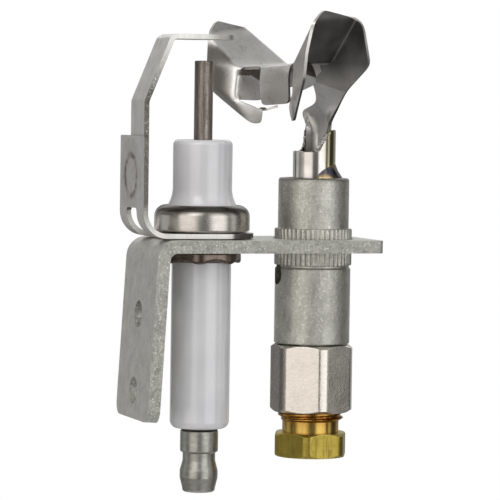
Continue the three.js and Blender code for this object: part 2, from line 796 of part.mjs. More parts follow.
function buildNut() {
  const profile = [
    [TUBE_BORE_R, NUT_HEAD_TOP],
    [NUT_NECK_R, NUT_HEAD_TOP],
    [NUT_NECK_R, NUT_NECK_TOP],
  ];
  const crests = Math.floor((THREAD_TOP - NUT_NECK_TOP) / THREAD_PITCH);
  for (let i = 0; i < crests; i += 1) {
    const z = NUT_NECK_TOP + i * THREAD_PITCH;
    profile.push([THREAD_ROOT_R, z + 0.15 * THREAD_PITCH]);
    profile.push([THREAD_CREST_R, z + 0.5 * THREAD_PITCH]);
    profile.push([THREAD_CREST_R, z + 0.6 * THREAD_PITCH]);
    profile.push([THREAD_ROOT_R, z + 0.95 * THREAD_PITCH]);
  }
  profile.push([THREAD_ROOT_R, THREAD_TOP], [TUBE_BORE_R, THREAD_TOP], [TUBE_BORE_R, NUT_HEAD_TOP]);
  const head = chamferedHex(NUT_FLATS, 6.4, NUT_FOOT, NUT_HEAD_TOP, 0.7, 0.5, NUT_TURN_DEG);
  return turned(profile, BURNER_X)
    .add(head.subtract(cylinder(TUBE_BORE_R, NUT_FOOT - 1, NUT_HEAD_TOP + 1, BURNER_X)));
}

// ---- assembly ----
const COLOURS = {
  galvanised: 0x8b8c84,
  strapSteel: 0xaaa8a2,
  darkSteel: 0x55504a,
  rodSteel: 0x5c534b,
  ceramic: 0xe6e6e6,
  sealGrey: 0x3c3b39,
  terminal: 0x8f8b84,
  castMetal: 0x8e8f88,
  bright: 0xb9b5ac,
  sheet: 0x8f8d89,
  tinted: 0x6b5c46,
  weld: 0xa9a7a2,
  plated: 0xb3aaa0,
  brass: 0xb59a3f,
};

const PIECES = [
  ['bracket', buildBracket, 'galvanised', 0.6],
  ['ground_strap_foot', buildStrapFoot, 'strapSteel', 0.4],
  ['ground_strap_arm', buildStrapArm, 'strapSteel', 0.4],
  ['electrode_rod', buildRod, 'rodSteel', 0.5],
  ['insulator', buildInsulator, 'ceramic', 0.2],
  ['ferrule_cup', buildFerruleCup, 'darkSteel', 0.35],
  ['cup_gasket', buildCupGasket, 'sealGrey', 0.9],
  ['retaining_ring', buildRetainingRing, 'darkSteel', 0.35],
  ['terminal_gasket', buildTerminalGasket, 'sealGrey', 0.9],
  ['snap_terminal', buildTerminal, 'terminal', 0.4],
  ['burner_body', buildBurnerBody, 'castMetal', 0.65],
  ['burner_tube', buildBurnerTube, 'bright', 0.25],
  ['braze_fillet', buildTubeFillet, 'tinted', 0.4],
  ['flame_hood', buildHood, 'sheet', 0.4],
  ['weld_bead_right', buildRightWeld, 'weld', 0.5],
  ['weld_bead_left', buildLeftWeld, 'weld', 0.5],
  ['inlet_fitting', buildInletFitting, 'plated', 0.45],
  ['pilot_orifice', buildOrifice, 'brass', 0.35],
  ['compression_sleeve', buildSleeve, 'brass', 0.35],
  ['compression_nut', buildNut, 'brass', 0.35],
];

const fixingFace = legPoint(SCREW_TOP_DROP + (SCREW_PITCH / 2) * Math.cos(lean));
const CERAMIC_NAMES = new Set(['insulator', 'cup_gasket', 'terminal_gasket']);

const assembly = new THREE.Group();
assembly.name = 'ignition_electrode';

for (const [name, build, colour, roughness] of PIECES) {
  const body = build().getMesh();
  const geometry = new THREE.BufferGeometry();
  geometry.setAttribute('position', new THREE.BufferAttribute(new Float32Array(body.vertProperties), 3));
  geometry.setIndex(new THREE.BufferAttribute(new Uint32Array(body.triVerts), 1));
  geometry.translate(-fixingFace.x, -fixingFace.y, -fixingFace.z);
  geometry.computeVertexNormals();
  const metalness = CERAMIC_NAMES.has(name) ? 0 : 0.8;
  const material = new THREE.MeshStandardMaterial({ color: COLOURS[colour], roughness, metalness });
  material.name = name;
  const mesh = new THREE.Mesh(geometry, material);
  mesh.name = name;
  assembly.add(mesh);
}

export default assembly;
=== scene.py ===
import math

import bmesh
import bpy
from mathutils import Matrix, Vector, geometry, noise


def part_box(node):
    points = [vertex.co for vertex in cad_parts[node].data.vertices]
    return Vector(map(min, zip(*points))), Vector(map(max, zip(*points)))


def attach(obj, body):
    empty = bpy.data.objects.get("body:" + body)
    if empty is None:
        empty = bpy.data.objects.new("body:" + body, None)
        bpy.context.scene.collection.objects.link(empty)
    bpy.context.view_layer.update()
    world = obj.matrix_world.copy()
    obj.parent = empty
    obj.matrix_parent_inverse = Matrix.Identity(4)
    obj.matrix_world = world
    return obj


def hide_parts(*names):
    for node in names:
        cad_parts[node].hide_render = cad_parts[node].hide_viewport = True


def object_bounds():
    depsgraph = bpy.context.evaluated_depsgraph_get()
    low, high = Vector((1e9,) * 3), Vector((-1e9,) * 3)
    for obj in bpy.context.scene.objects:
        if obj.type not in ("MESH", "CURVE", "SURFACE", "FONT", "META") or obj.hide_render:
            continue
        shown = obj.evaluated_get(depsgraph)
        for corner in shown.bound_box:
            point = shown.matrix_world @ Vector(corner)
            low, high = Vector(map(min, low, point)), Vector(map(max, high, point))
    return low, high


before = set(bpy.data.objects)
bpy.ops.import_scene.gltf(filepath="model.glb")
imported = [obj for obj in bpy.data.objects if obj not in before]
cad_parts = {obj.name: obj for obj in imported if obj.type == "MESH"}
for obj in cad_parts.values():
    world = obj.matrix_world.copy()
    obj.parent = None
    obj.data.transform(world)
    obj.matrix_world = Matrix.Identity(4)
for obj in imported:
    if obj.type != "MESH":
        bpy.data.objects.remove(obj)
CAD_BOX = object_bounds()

MM = 0.001
ROOT = "burner_frame"

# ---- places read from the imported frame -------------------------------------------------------
# Shapes below are in millimetres from the plate's bent end: X along it, Z up from its top face.
PLATE_LENGTH = 39.2
bracket_low, bracket_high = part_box("bracket")
ORIGIN = Vector((
    bracket_high.x - PLATE_LENGTH * MM,
    (bracket_low.y + bracket_high.y) / 2,
    bracket_high.z,
))


def axis_x(node):
    low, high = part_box(node)
    return ((low.x + high.x) / 2 - ORIGIN.x) / MM


ROD_X = axis_x("electrode_rod")
BODY_X = axis_x("burner_body")


def place(x, y, z):
    """Millimetres from the plate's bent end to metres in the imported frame."""
    return Vector((x * MM + ORIGIN.x, y * MM + ORIGIN.y, z * MM + ORIGIN.z))


# ---- node helpers ----------------------------------------------------------------------------
def add_node(tree, kind, output, sockets, **settings):
    """Adds a node, fills its sockets by value or by link, and gives one of its outputs."""
    node = tree.nodes.new("ShaderNode" + kind)
    for name, value in settings.items():
        setattr(node, name, value)
    for key, value in sockets.items():
        if isinstance(value, bpy.types.NodeSocket):
            tree.links.new(value, node.inputs[key])
        else:
            node.inputs[key].default_value = value
    return node.outputs[output]


def add_ramp(tree, fac, stops):
    """A colour ramp through (position, linear RGBA) stops."""
    node = tree.nodes.new("ShaderNodeValToRGB")
    elements = node.color_ramp.elements
    while len(elements) < len(stops):
        elements.new(0.5)
    for element, (position, colour) in zip(elements, stops):
        element.position = position
        element.color = colour
    tree.links.new(fac, node.inputs["Fac"])
    return node.outputs["Color"]


def linear(colour):
    """Linear RGBA from an sRGB colour of 0..255, or from a grey of 0..1 that is linear already."""
    if isinstance(colour, (int, float)):
        return (colour, colour, colour, 1.0)
    out = []
    for value in colour:
        c = value / 255.0
        out.append(c / 12.92 if c <= 0.04045 else ((c + 0.055) / 1.055) ** 2.4)
    return (*out, 1.0)


class Mat:
    """A small builder round one Principled material; `tone` is its base colour so far."""

    def __init__(self, name, metallic, roughness, **sockets):
        self.material = bpy.data.materials.new(name)
        self.material.use_nodes = True
        self.tree = self.material.node_tree
        self.sockets = self.tree.nodes["Principled BSDF"].inputs
        self.sockets["Metallic"].default_value = metallic
        self.sockets["Roughness"].default_value = roughness
        for socket, value in sockets.items():
            self.sockets[socket.replace("_", " ")].default_value = value
        self.coords = self.node("TexCoord", "Object", {})
        self.tone = None

    def node(self, kind, output, sockets, **settings):
        return add_node(self.tree, kind, output, sockets, **settings)

    def mapped(self, scale=(1, 1, 1), location=(0, 0, 0), rotation=(0, 0, 0)):
        return self.node("Mapping", "Vector", {
            "Vector": self.coords, "Scale": scale, "Location": location, "Rotation": rotation})

    def round_axis(self, x, turns, rise):
        """Coordinates wrapped round the upright axis at x: direction times turns, height times rise."""
        shift = place(x, 0, 0)
        moved = self.node("VectorMath", 0, {0: self.coords, 1: (shift.x, shift.y, 0)}, operation="SUBTRACT")
        flat = self.node("VectorMath", 0, {0: moved, 1: (1, 1, 0)}, operation="MULTIPLY")
        unit = self.node("VectorMath", 0, {0: flat}, operation="NORMALIZE")
        around = self.node("VectorMath", 0, {0: unit, 1: (turns, turns, 0)}, operation="MULTIPLY")
        upward = self.node("VectorMath", 0, {0: moved, 1: (0, 0, rise)}, operation="MULTIPLY")
        return self.node("VectorMath", 0, {0: around, 1: upward}, operation="ADD")

    def noise(self, scale, detail=4.0, roughness=0.55, distortion=0.0, at=None):
        return self.node("TexNoise", "Fac", {
            "Vector": self.coords if at is None else at, "Scale": scale, "Detail": detail,
            "Roughness": roughness, "Distortion": distortion})

    def ramp(self, fac, *stops):
        return add_ramp(self.tree, fac, [(position, linear(colour)) for position, colour in stops])

    def spread(self, fac, low, high, from_low=0.3, from_high=0.7):
        return self.node("MapRange", "Result", {
            "Value": fac, "From Min": from_low, "From Max": from_high, "To Min": low, "To Max": high})

    def math(self, operation, a, b):
        return self.node("Math", 0, {0: a, 1: b}, operation=operation)

    def times(self, a, b):
        return self.math("MULTIPLY", a, b)

    def inverse(self, value):
        return self.math("SUBTRACT", 1.0, value)

    def mix(self, fac, a, b):
        a, b = (linear(c) if isinstance(c, tuple) else c for c in (a, b))
        return self.node("Mix", 2, {0: fac, 6: a, 7: b}, data_type="RGBA")

    def tint(self, fac, colour):
        """Lays a colour over the tone, as much as fac says."""
        self.tone = self.mix(fac, self.tone, colour)

    def wash(self, mask, most, colour, low=0.3, high=0.7):
        """Lays a colour over the tone, from nothing where the mask is low to `most` where it is high."""
        self.tint(self.spread(mask, 0.0, most, low, high), colour)

    def height_of(self, low_z, high_z):
        """0 at low_z, 1 at high_z, in millimetres above the plate."""
        z = self.node("SeparateXYZ", "Z", {0: self.coords})
        return self.spread(z, 0.0, 1.0, place(0, 0, low_z).z, place(0, 0, high_z).z)

    def left_of(self, x, blend):
        """1 on the -X side of x millimetres, fading to 0 over the blend."""
        across = self.node("SeparateXYZ", "X", {0: self.coords})
        return self.spread(across, 1.0, 0.0, place(x, 0, 0).x, place(x + blend, 0, 0).x)

    def done(self, roughness, *bumps):
        """Links the tone, the roughness and the bumps, each (height, millimetres, strength)."""
        normal = None
        for height, distance, strength in bumps:
            inputs = {"Strength": strength, "Distance": distance * MM, "Height": height}
            if normal is not None:
                inputs["Normal"] = normal
            normal = self.node("Bump", "Normal", inputs)
        for socket, value in (("Base Color", self.tone), ("Roughness", roughness), ("Normal", normal)):
            self.tree.links.new(value, self.sockets[socket])
        return self.material


# ---- materials -------------------------------------------------------------------------------
def galvanised():
    m = Mat("galvanised_face", 0.8, 0.5)
    patches = m.noise(420, 5, 0.6)
    grain = m.noise(5200, 3, 0.7)
    spots = m.noise(1500, 4, 0.65, 0.4)
    m.tone = m.ramp(patches, (0.3, (190, 189, 183)), (0.5, (206, 205, 199)), (0.72, (220, 219, 213)))
    m.wash(grain, 0.5, (226, 226, 220), 0.35, 0.75)
    m.wash(spots, 0.6, (124, 123, 116), 0.58, 0.78)
    return m.done(m.spread(spots, 0.4, 0.6), (grain, 0.02, 0.6), (spots, 0.05, 0.5))


def sheared():
    m = Mat("galvanised_edge", 0.8, 0.5)
    streaks = m.noise(2400, 4, 0.7, at=m.mapped((1, 1, 0.6)))
    chips = m.noise(3000, 5, 0.75, 0.6)
    blots = m.noise(700, 4, 0.6)
    m.tone = m.ramp(streaks, (0.25, (150, 150, 143)), (0.5, (180, 180, 173)), (0.75, (206, 206, 198)))
    m.wash(blots, 0.5, (118, 117, 110), 0.45, 0.7)
    m.wash(chips, 1.0, (248, 248, 242), 0.54, 0.66)
    return m.done(m.spread(chips, 0.38, 0.6), (chips, 0.12, 0.8), (streaks, 0.08, 0.6))


def strap_steel(name, low, high, edge=False, burnt_tip=None):
    """Drawn sheet steel. An edge gets painted shade at middle heights, with bright worn specks in it; beyond
    the tip's x, in X, it gets a painted shadow.
    """
    m = Mat(name, 0.95, 0.34)
    lines = m.noise(3600, 3, 0.6, at=m.mapped((1, 1, 0.05)))
    streak = m.noise(900, 2, 0.5, at=m.mapped((1, 1, 0.03)))
    patches = m.noise(300, 4, 0.6)
    specks = m.noise(4600, 3, 0.7)
    m.tone = m.ramp(patches, (0.3, low), (0.7, high))
    m.wash(lines, 0.4, (222, 220, 214))
    m.wash(streak, 0.18, (140, 137, 130), 0.45, 0.65)
    if edge:
        # Painted shade on the edges: full from 6 to 24 mm up, fading out by 1.2 and by 33.5 mm, with bright
        # worn specks left in it.
        shade_with_worn_specks = m.mix(m.spread(specks, 0.0, 0.9, 0.56, 0.7), (92, 89, 84), (226, 224, 219))
        m.tint(m.times(m.inverse(m.height_of(24.0, 33.5)), m.height_of(1.2, 6.0)), shade_with_worn_specks)
    if burnt_tip:
        # Painted shadow of the cup on the foot's far end, beyond the given x.
        m.tint(m.times(m.inverse(m.left_of(burnt_tip, 0.6)), m.spread(specks, 0.98, 0.7)), (58, 53, 48))
    return m.done(m.spread(patches, 0.3, 0.46), (lines, 0.012, 0.5), (patches, 0.06, 0.25),
                  (specks, 0.03, 0.5 if edge else 0.2))


def strap_tab():
    """Sheet steel with a spot weld on the tab: a broken burnt ring round a dished, paler spot."""
    m = Mat("strap_tab", 0.95, 0.36)
    lines = m.noise(3600, 3, 0.6, at=m.mapped((1, 1, 0.06)))
    patches = m.noise(300, 4, 0.6)
    stains = m.noise(520, 5, 0.65, 0.8)
    m.tone = m.ramp(patches, (0.3, (224, 222, 217)), (0.7, (244, 242, 238)))
    m.wash(lines, 0.3, (200, 199, 194))
    weld_spot, ragged = place(STRAP_FACE, 0.7, 10.4), 0.9 * MM
    away = m.node("VectorMath", "Value", {0: m.coords, 1: weld_spot}, operation="DISTANCE")
    wobble = m.math("ADD", away, m.times(m.noise(700), ragged))
    reach = m.spread(wobble, 0.0, 1.0, 0.0, 7 * MM)
    ring = m.ramp(reach, (0.0, 0), (0.44, 0.1), (0.52, 1), (0.58, 0.9), (0.66, 0.12), (1.0, 0))
    gaps = m.noise(330, 3, at=m.mapped(location=(0, 2 * MM, 0)))
    heat = m.ramp(m.noise(800, 3), (0.35, (112, 74, 56)), (0.65, (92, 70, 62)))
    olive = m.ramp(reach, (0.0, 0.5), (0.45, 0.4), (0.95, 0.25), (1.0, 0))
    m.tint(m.times(olive, m.spread(stains, 0.0, 0.9, 0.45, 0.65)), (172, 165, 138))
    m.tint(m.times(ring, m.spread(gaps, 0.3, 1.0, 0.4, 0.55)), heat)
    return m.done(m.spread(stains, 0.26, 0.46), (lines, 0.012, 0.5), (reach, 0.35, 0.35), (stains, 0.04, 0.4))


def drawn_rod():
    m = Mat("rod_alloy", 0.95, 0.38)
    rings = m.noise(3000, 4, 0.7)
    along = m.noise(2600, 4, 0.6, at=m.mapped((1, 1, 0.08)))
    m.tone = m.ramp(along, (0.25, (108, 101, 95)), (0.5, (136, 128, 121)), (0.78, (172, 165, 158)))
    m.wash(rings, 0.55, (74, 66, 60), 0.52, 0.72)
    return m.done(m.spread(rings, 0.3, 0.5), (rings, 0.03, 0.5), (along, 0.03, 0.4))


def porcelain():
    m = Mat("glazed_ceramic", 0.0, 0.16, Coat_Weight=0.6, Coat_Roughness=0.06, Subsurface_Weight=0.08,
            Subsurface_Scale=2 * MM, Subsurface_Radius=(1.0, 0.9, 0.8))
    cloud = m.noise(160, 3, 0.5)
    specks = m.noise(5200, 2, 0.5)
    m.tone = m.ramp(cloud, (0.3, (214, 214, 217)), (0.7, (226, 226, 228)))
    m.wash(specks, 0.45, (176, 172, 166), 0.7, 0.8)
    return m.done(m.spread(cloud, 0.12, 0.22), (cloud, 0.03, 0.3))


def turned_steel(name, stops, rough, rise, fine, dark_above=None):
    """Metal with faint broken lines left round the electrode's axis by turning or spinning."""
    m = Mat(name, 1.0, 0.3)
    lines = m.noise(1.0, 3, 0.6, at=m.round_axis(ROD_X, 2.2, rise))
    grain = m.noise(4200, 4, 0.7)
    patches = m.noise(420, 4, 0.6)
    m.tone = m.ramp(m.math("ADD", m.times(lines, 0.45), m.times(grain, 0.55)), *stops)
    m.wash(patches, 0.3, stops[0][1])
    # Painted shade: darker towards the top, above the two heights given.
    if dark_above:
        m.tint(m.times(m.height_of(*dark_above), 0.94), (62, 57, 51))
    return m.done(m.spread(patches, *rough), (lines, fine, 0.5), (grain, 0.012, 0.5))


def fibre():
    m = Mat("seal_fibre", 0.0, 0.9)
    wool = m.noise(4200, 5, 0.7, 0.5, at=m.mapped((1, 1, 2)))
    m.tone = m.ramp(wool, (0.3, (44, 43, 42)), (0.7, (84, 82, 79)))
    return m.done(m.spread(wool, 0.8, 0.95), (wool, 0.06, 0.7))


def casting():
    m = Mat("cast_alloy", 0.95, 0.4)
    pits = m.noise(3800, 4, 0.75)
    grain = m.node("TexVoronoi", "Distance", {"Vector": m.coords, "Scale": 2600})
    sparkle = m.noise(2100, 5, 0.8, 0.5)
    cloud = m.noise(260, 4, 0.6)
    strokes = m.noise(1000, 4, 0.65, at=m.mapped((1, 1, 0.35), rotation=(0.4, 0.3, 0.0)))
    m.tone = m.ramp(cloud, (0.3, (180, 179, 170)), (0.7, (202, 201, 192)))
    m.wash(pits, 0.5, (118, 117, 110), 0.5, 0.72)
    m.wash(sparkle, 0.8, (236, 235, 226), 0.56, 0.68)
    m.wash(strokes, 0.38, (122, 121, 113), 0.5, 0.68)
    # Painted shade on the casting's top rim, from 9.4 to 10.1 mm up.
    m.tint(m.times(m.height_of(9.4, 10.1), 0.9), (116, 115, 107))
    return m.done(m.spread(sparkle, 0.39, 0.22), (pits, 0.06, 0.7), (grain, 0.03, 0.4), (sparkle, 0.1, 0.6))


def bright_tube():
    """Polished tube, straw coloured by the brazing on its right."""
    m = Mat("bright_tube", 1.0, 0.12)
    lines = m.noise(3000, 3, 0.5, at=m.mapped((1, 1, 0.05)))
    cloud = m.noise(420, 3, 0.5)
    side = m.noise(150, 2, at=m.mapped(location=(3 * MM, 0, 0)))
    m.tone = m.ramp(cloud, (0.3, (196, 192, 186)), (0.7, (224, 220, 214)))
    straw = m.ramp(m.height_of(10.0, 13.2), (0.0, (158, 120, 58)), (0.35, (204, 176, 112)),
                   (0.7, (198, 188, 146)), (1.0, (176, 168, 136)))
    heated = m.inverse(m.left_of(BODY_X + 0.2, 1.2))
    m.tint(m.times(heated, m.spread(side, 0.6, 0.95, 0.42, 0.58)), straw)
    return m.done(m.spread(lines, 0.08, 0.2), (lines, 0.01, 0.35), (cloud, 0.04, 0.25))


def braze_metal():
    m = Mat("braze_metal", 1.0, 0.28)
    cloud = m.noise(300, 2, 0.4, 0.3, at=m.mapped((1, 1, 1.6)))
    grain = m.noise(1900, 3, 0.6)
    m.tone = m.ramp(cloud, (0.36, (70, 72, 80)), (0.46, (108, 103, 108)), (0.54, (168, 147, 108)),
                    (0.64, (214, 196, 154)))
    return m.done(m.spread(cloud, 0.2, 0.42), (cloud, 0.06, 0.4), (grain, 0.03, 0.4))


def hood_sheet(name, stops, rough, heat=None, pale=False):
    """Pressed sheet with painted shade above the two heights given for it, fading in between them; a painted
    highlight at mid height if asked.
    """
    m = Mat(name, 0.95, 0.3)
    cloud = m.noise(150, 4, 0.5, 0.4)
    lines = m.noise(3600, 3, 0.5, at=m.mapped((1, 0.1, 1), rotation=(0, 0, 0.5)))
    marks = m.noise(800, 5, 0.65, 1.2)
    grain = m.noise(3600, 3, 0.6)
    m.tone = m.ramp(cloud, *stops)
    # Painted highlight: paler at mid height, fading in from 20.6 to 22.4 mm and out from 27.5 to 30 mm up.
    if pale:
        middle = m.times(m.height_of(20.6, 22.4), m.inverse(m.height_of(27.5, 30.0)))
        m.tint(middle, m.ramp(cloud, (0.3, (214, 212, 208)), (0.5, (230, 228, 225)), (0.72, (246, 244, 242))))
    m.wash(lines, 0.14, (220, 217, 212))
    m.wash(marks, 0.45, (104, 98, 92), 0.55, 0.75)
    # Painted shade: darker above the two heights given, fading in between them.
    if heat:
        painted_shade = m.ramp(cloud, (0.3, (94, 93, 91)), (0.5, (118, 117, 115)), (0.75, (150, 149, 147)))
        m.tint(m.height_of(*heat), painted_shade)
    return m.done(m.spread(cloud, *rough), (lines, 0.006, 0.35), (cloud, 0.1, 0.25), (grain, 0.004, 0.3))


def weld_metal():
    m = Mat("weld_metal", 0.95, 0.32)
    scale = m.noise(1900, 5, 0.7, 0.8)
    m.tone = m.ramp(scale, (0.3, (104, 102, 98)), (0.48, (188, 186, 182)), (0.65, (244, 243, 240)))
    return m.done(m.spread(scale, 0.2, 0.5), (scale, 0.15, 0.8))


def plated_hex():
    """Plated steel with dents and bright specks, and painted shade on its left face."""
    m = Mat("plated_steel", 0.97, 0.34)
    across = m.noise(700, 3, 0.6, at=m.mapped((1, 1, 14)))
    cloud = m.noise(330, 5, 0.65)
    dents = m.noise(1900, 4, 0.7, 0.6)
    specks = m.noise(2600, 3, 0.6)
    m.tone = m.ramp(cloud, (0.3, (206, 200, 190)), (0.7, (230, 224, 215)))
    m.wash(across, 0.2, (160, 154, 147))
    m.wash(dents, 0.7, (116, 109, 101), 0.62, 0.78)
    m.wash(specks, 0.8, (245, 242, 238), 0.66, 0.74)
    # Painted shade on the hex's left face, left of the given x, uneven with the cloud.
    m.tint(m.times(m.left_of(BODY_X - 6.25, 0.5), m.spread(cloud, 0.75, 0.95)), (118, 112, 104))
    return m.done(m.spread(cloud, 0.2, 0.32), (across, 0.01, 0.5), (dents, 0.05, 0.5), (specks, 0.04, 0.5))


def machined_brass():
    """Brass: hex flats drawn and tarnished, the turned neck above them brighter."""
    m = Mat("machined_brass", 1.0, 0.26)
    lines = m.noise(1.0, 4, 0.6, at=m.round_axis(BODY_X, 1.6, 5000))
    cloud = m.noise(420, 4, 0.6)
    tarnish = m.noise(1100, 5, 0.7, 0.8, at=m.mapped((1, 1, 0.3)))
    drawn = m.noise(2200, 3, 0.6, at=m.mapped((1, 1, 0.06)))
    m.tone = m.ramp(cloud, (0.3, (148, 130, 52)), (0.7, (172, 154, 70)))
    m.wash(lines, 0.2, (210, 192, 112))
    m.wash(drawn, 0.6, (112, 88, 34), 0.52, 0.7)
    m.wash(tarnish, 0.6, (120, 92, 34), 0.55, 0.72)
    neck = m.height_of(-32.75, -32.55)
    m.tint(m.times(neck, 0.6), (214, 176, 96))
    m.tint(m.times(m.height_of(-32.0, -30.0), 0.6), (150, 92, 44))
    rough = m.math("SUBTRACT", m.spread(tarnish, 0.28, 0.46), m.times(neck, 0.14))
    return m.done(rough, (lines, 0.01, 0.4), (tarnish, 0.03, 0.4), (drawn, 0.02, 0.4))


# ---- mesh helpers ----------------------------------------------------------------------------
def arc(cx, cy, radius, start, end, steps=8):
    points = []
    for i in range(steps + 1):
        angle = math.radians(start + (end - start) * i / steps)
        points.append((cx + radius * math.cos(angle), cy + radius * math.sin(angle)))
    return points


def circle(cx, cy, radius, count=64):
    turns = [2 * math.pi * i / count for i in range(count)]
    return [(cx + radius * math.cos(angle), cy + radius * math.sin(angle)) for angle in turns]


def curve_round(start, corner, end, steps):
    """Points on the curve that rounds a corner off between start and end."""
    shares = [i / steps for i in range(steps + 1)]
    return [start * (1 - t) ** 2 + corner * 2 * t * (1 - t) + end * t ** 2 for t in shares]


def softened(points, steps=5):
    """Rounds the corners of an open line: a point may carry a third number, its corner radius."""
    out = []
    for i, point in enumerate(points):
        here = Vector(point[:2])
        radius = point[2] if len(point) > 2 else 0.0
        if radius <= 0 or i in (0, len(points) - 1):
            out.append(tuple(here))
            continue
        before = Vector(points[i - 1][:2]) - here
        after = Vector(points[i + 1][:2]) - here
        half = before.angle(after) / 2
        reach = min(radius / math.tan(half), before.length * 0.49, after.length * 0.49)
        start, end = here + before.normalized() * reach, here + after.normalized() * reach
        out += [tuple(spot) for spot in curve_round(start, here, end, steps)]
    return out


def along_line(points, x):
    """Height of a line of (x, height) points at x, level beyond its ends."""
    if x <= points[0][0]:
        return points[0][1]
    for (x0, y0), (x1, y1) in zip(points, points[1:]):
        if x <= x1:
            return y0 + (y1 - y0) * (x - x0) / (x1 - x0)
    return points[-1][1]


def ramp_up(value, width):
    """0 below 0, 1 above width, straight between them."""
    return min(1.0, max(0.0, value / width))


def piece(name, bm, materials, node, body=ROOT, sharp=38, modifiers=()):
    """Turns a bmesh in millimetres into an object that rides on the frame; folds over sharp show."""
    bmesh.ops.remove_doubles(bm, verts=bm.verts, dist=1e-4)
    bmesh.ops.recalc_face_normals(bm, faces=bm.faces)
    for v in bm.verts:
        v.co = place(*v.co)
    limit = math.radians(sharp)
    for e in bm.edges:
        e.smooth = len(e.link_faces) == 2 and e.calc_face_angle(0) < limit
    for f in bm.faces:
        f.smooth = True
    mesh = bpy.data.meshes.new(name)
    bm.to_mesh(mesh)
    bm.free()
    obj = bpy.data.objects.new(name, mesh)
    bpy.context.scene.collection.objects.link(obj)
    for material in materials:
        mesh.materials.append(material)
    for kind, settings in modifiers:
        modifier = obj.modifiers.new(kind.lower(), kind)
        for key, value in settings.items():
            setattr(modifier, key, value)
    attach(obj, body)
    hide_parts(node)
    return obj


def join_rows(bm, rows, closed):
    """Faces between neighbouring rings of points; a ring of one point is a pole."""
    for low, high in zip(rows, rows[1:] + rows[:1] if closed else rows[1:]):
        count = max(len(low), len(high))
        for i in range(count):
            k = (i + 1) % count
            corners = []
            for vert in (low[i % len(low)], low[k % len(low)], high[k % len(high)], high[i % len(high)]):
                if vert not in corners:
                    corners.append(vert)
            if len(corners) > 2:
                bm.faces.new(corners)


def lathe(profile, x, closed=True, segments=128, shape=None):
    """Revolves (radius, height) points round the upright axis at x.

    A radius may be a function of angle and height; shape may move each point of a ring.
    """
    bm = bmesh.new()
    rows = []
    for r, z in profile:
        if not callable(r) and r < 1e-6:
            rows.append([bm.verts.new((x, 0, z))])
            continue
        row = []
        for i in range(segments):
            angle = 2 * math.pi * i / segments
            radius, height = shape(r, z, angle) if shape else (r(angle, z) if callable(r) else r, z)
            row.append(bm.verts.new((x + radius * math.cos(angle), radius * math.sin(angle), height)))
        rows.append(row)
    join_rows(bm, rows, closed)
    return bm


def inside(point, loop):
    hit = False
    x, y = point
    for (x0, y0), (x1, y1) in zip(loop, loop[1:] + loop[:1]):
        if (y0 > y) != (y1 > y) and x < (x1 - x0) * (y - y0) / (y1 - y0) + x0:
            hit = not hit
    return hit


def plate(outline, holes, cuts, mapping, metal):
    """A sheet from its flat pattern: mapping(s, y, h) bends it, h being the offset off its middle.

    The cuts are the values of s where it needs a line of points to bend on. Its rim is material 1.
    """
    coords, edges = [], []
    for loop in [outline] + holes:
        start = len(coords)
        coords += [Vector(p) for p in loop]
        edges += [(start + i, start + (i + 1) % len(loop)) for i in range(len(loop))]
    lo = min(p[1] for p in outline) - 1
    hi = max(p[1] for p in outline) + 1
    for s in cuts:
        start = len(coords)
        coords += [Vector((s, lo)), Vector((s, hi))]
        edges.append((start, start + 1))
    flat, _, faces, *_ = geometry.delaunay_2d_cdt(coords, edges, [], 0, 1e-5)
    bm = bmesh.new()
    top, low = {}, {}

    def vert(store, i, h):
        if i not in store:
            store[i] = bm.verts.new(mapping(flat[i].x, flat[i].y, h))
        return store[i]

    kept = []
    for face in faces:
        middle = sum((flat[i] for i in face), Vector((0, 0))) / len(face)
        if inside(middle, outline) and not any(inside(middle, hole) for hole in holes):
            kept.append(tuple(face))
    uses = {}
    for face in kept:
        for a, b in zip(face, face[1:] + face[:1]):
            uses[frozenset((a, b))] = uses.get(frozenset((a, b)), 0) + 1
        bm.faces.new([vert(top, i, metal / 2) for i in face])
        bm.faces.new([vert(low, i, -metal / 2) for i in reversed(face)])
    weight = bm.edges.layers.float.new("bevel_weight_edge")
    for edge in (edge for edge, count in uses.items() if count == 1):
        a, b = edge
        side = bm.faces.new((top[a], top[b], low[b], low[a]))
        side.material_index = 1
        for e in side.edges:
            if set(e.verts) in ({top[a], top[b]}, {low[a], low[b]}):
                e[weight] = 1.0
    return bm


def bevel(width):
    return ("BEVEL", {"width": width * MM, "segments": 3, "limit_method": "WEIGHT", "harden_normals": True})


def bend_length(segment):
    """Arc length of ("bend", radius to the middle of the metal, turn in degrees)."""
    return segment[1] * math.radians(abs(segment[2]))


def bent(segments):
    """A line of ("run", length) and ("bend", radius, turn) parts, from the origin along +X.

    Gives a function of the length s along it and the offset h to its left.
    """
    def at(s, h):
        x, z, heading = 0.0, 0.0, 0.0
        for n, segment in enumerate(segments):
            last = n == len(segments) - 1
            if segment[0] == "run":
                step = s if last else min(s, segment[1])
                x += step * math.cos(heading)
                z += step * math.sin(heading)
                s -= step
            else:
                radius, turn = segment[1], math.radians(segment[2])
                length = radius * abs(turn)
                step = min(s, length)
                part = turn * step / length
                sign = 1 if turn > 0 else -1
                cx, cz = x - sign * radius * math.sin(heading), z + sign * radius * math.cos(heading)
                heading += part
                x, z = cx + sign * radius * math.sin(heading), cz - sign * radius * math.cos(heading)
                s -= step
            if s <= 1e-9 and not last:
                break
        return x - math.sin(heading) * h, z + math.cos(heading) * h
    return at


def bend_cuts(segments, steps):
    cuts, s = [], 0.0
    for segment in segments:
        if segment[0] == "run":
            s += segment[1]
            continue
        length = bend_length(segment)
        cuts += [s + length * i / steps for i in range(steps + 1)]
        s += length
    return cuts


# ---- bracket ---------------------------------------------------------------------------------
METAL = 2.1
HALF_WIDTH = 19.05 / 2
BEND_OUTSIDE, BEND_INSIDE = 3.4, 1.3
LEG_LEAN = 3.3
LEG_REACH = 29.8
SCREW_REACH, SCREW_SPACING, SCREW_RADIUS = 12.5, 12.7, 2.25
ROD_HOLE, BODY_HOLE = 5.3, 6.75
SPARE_RUN = 40


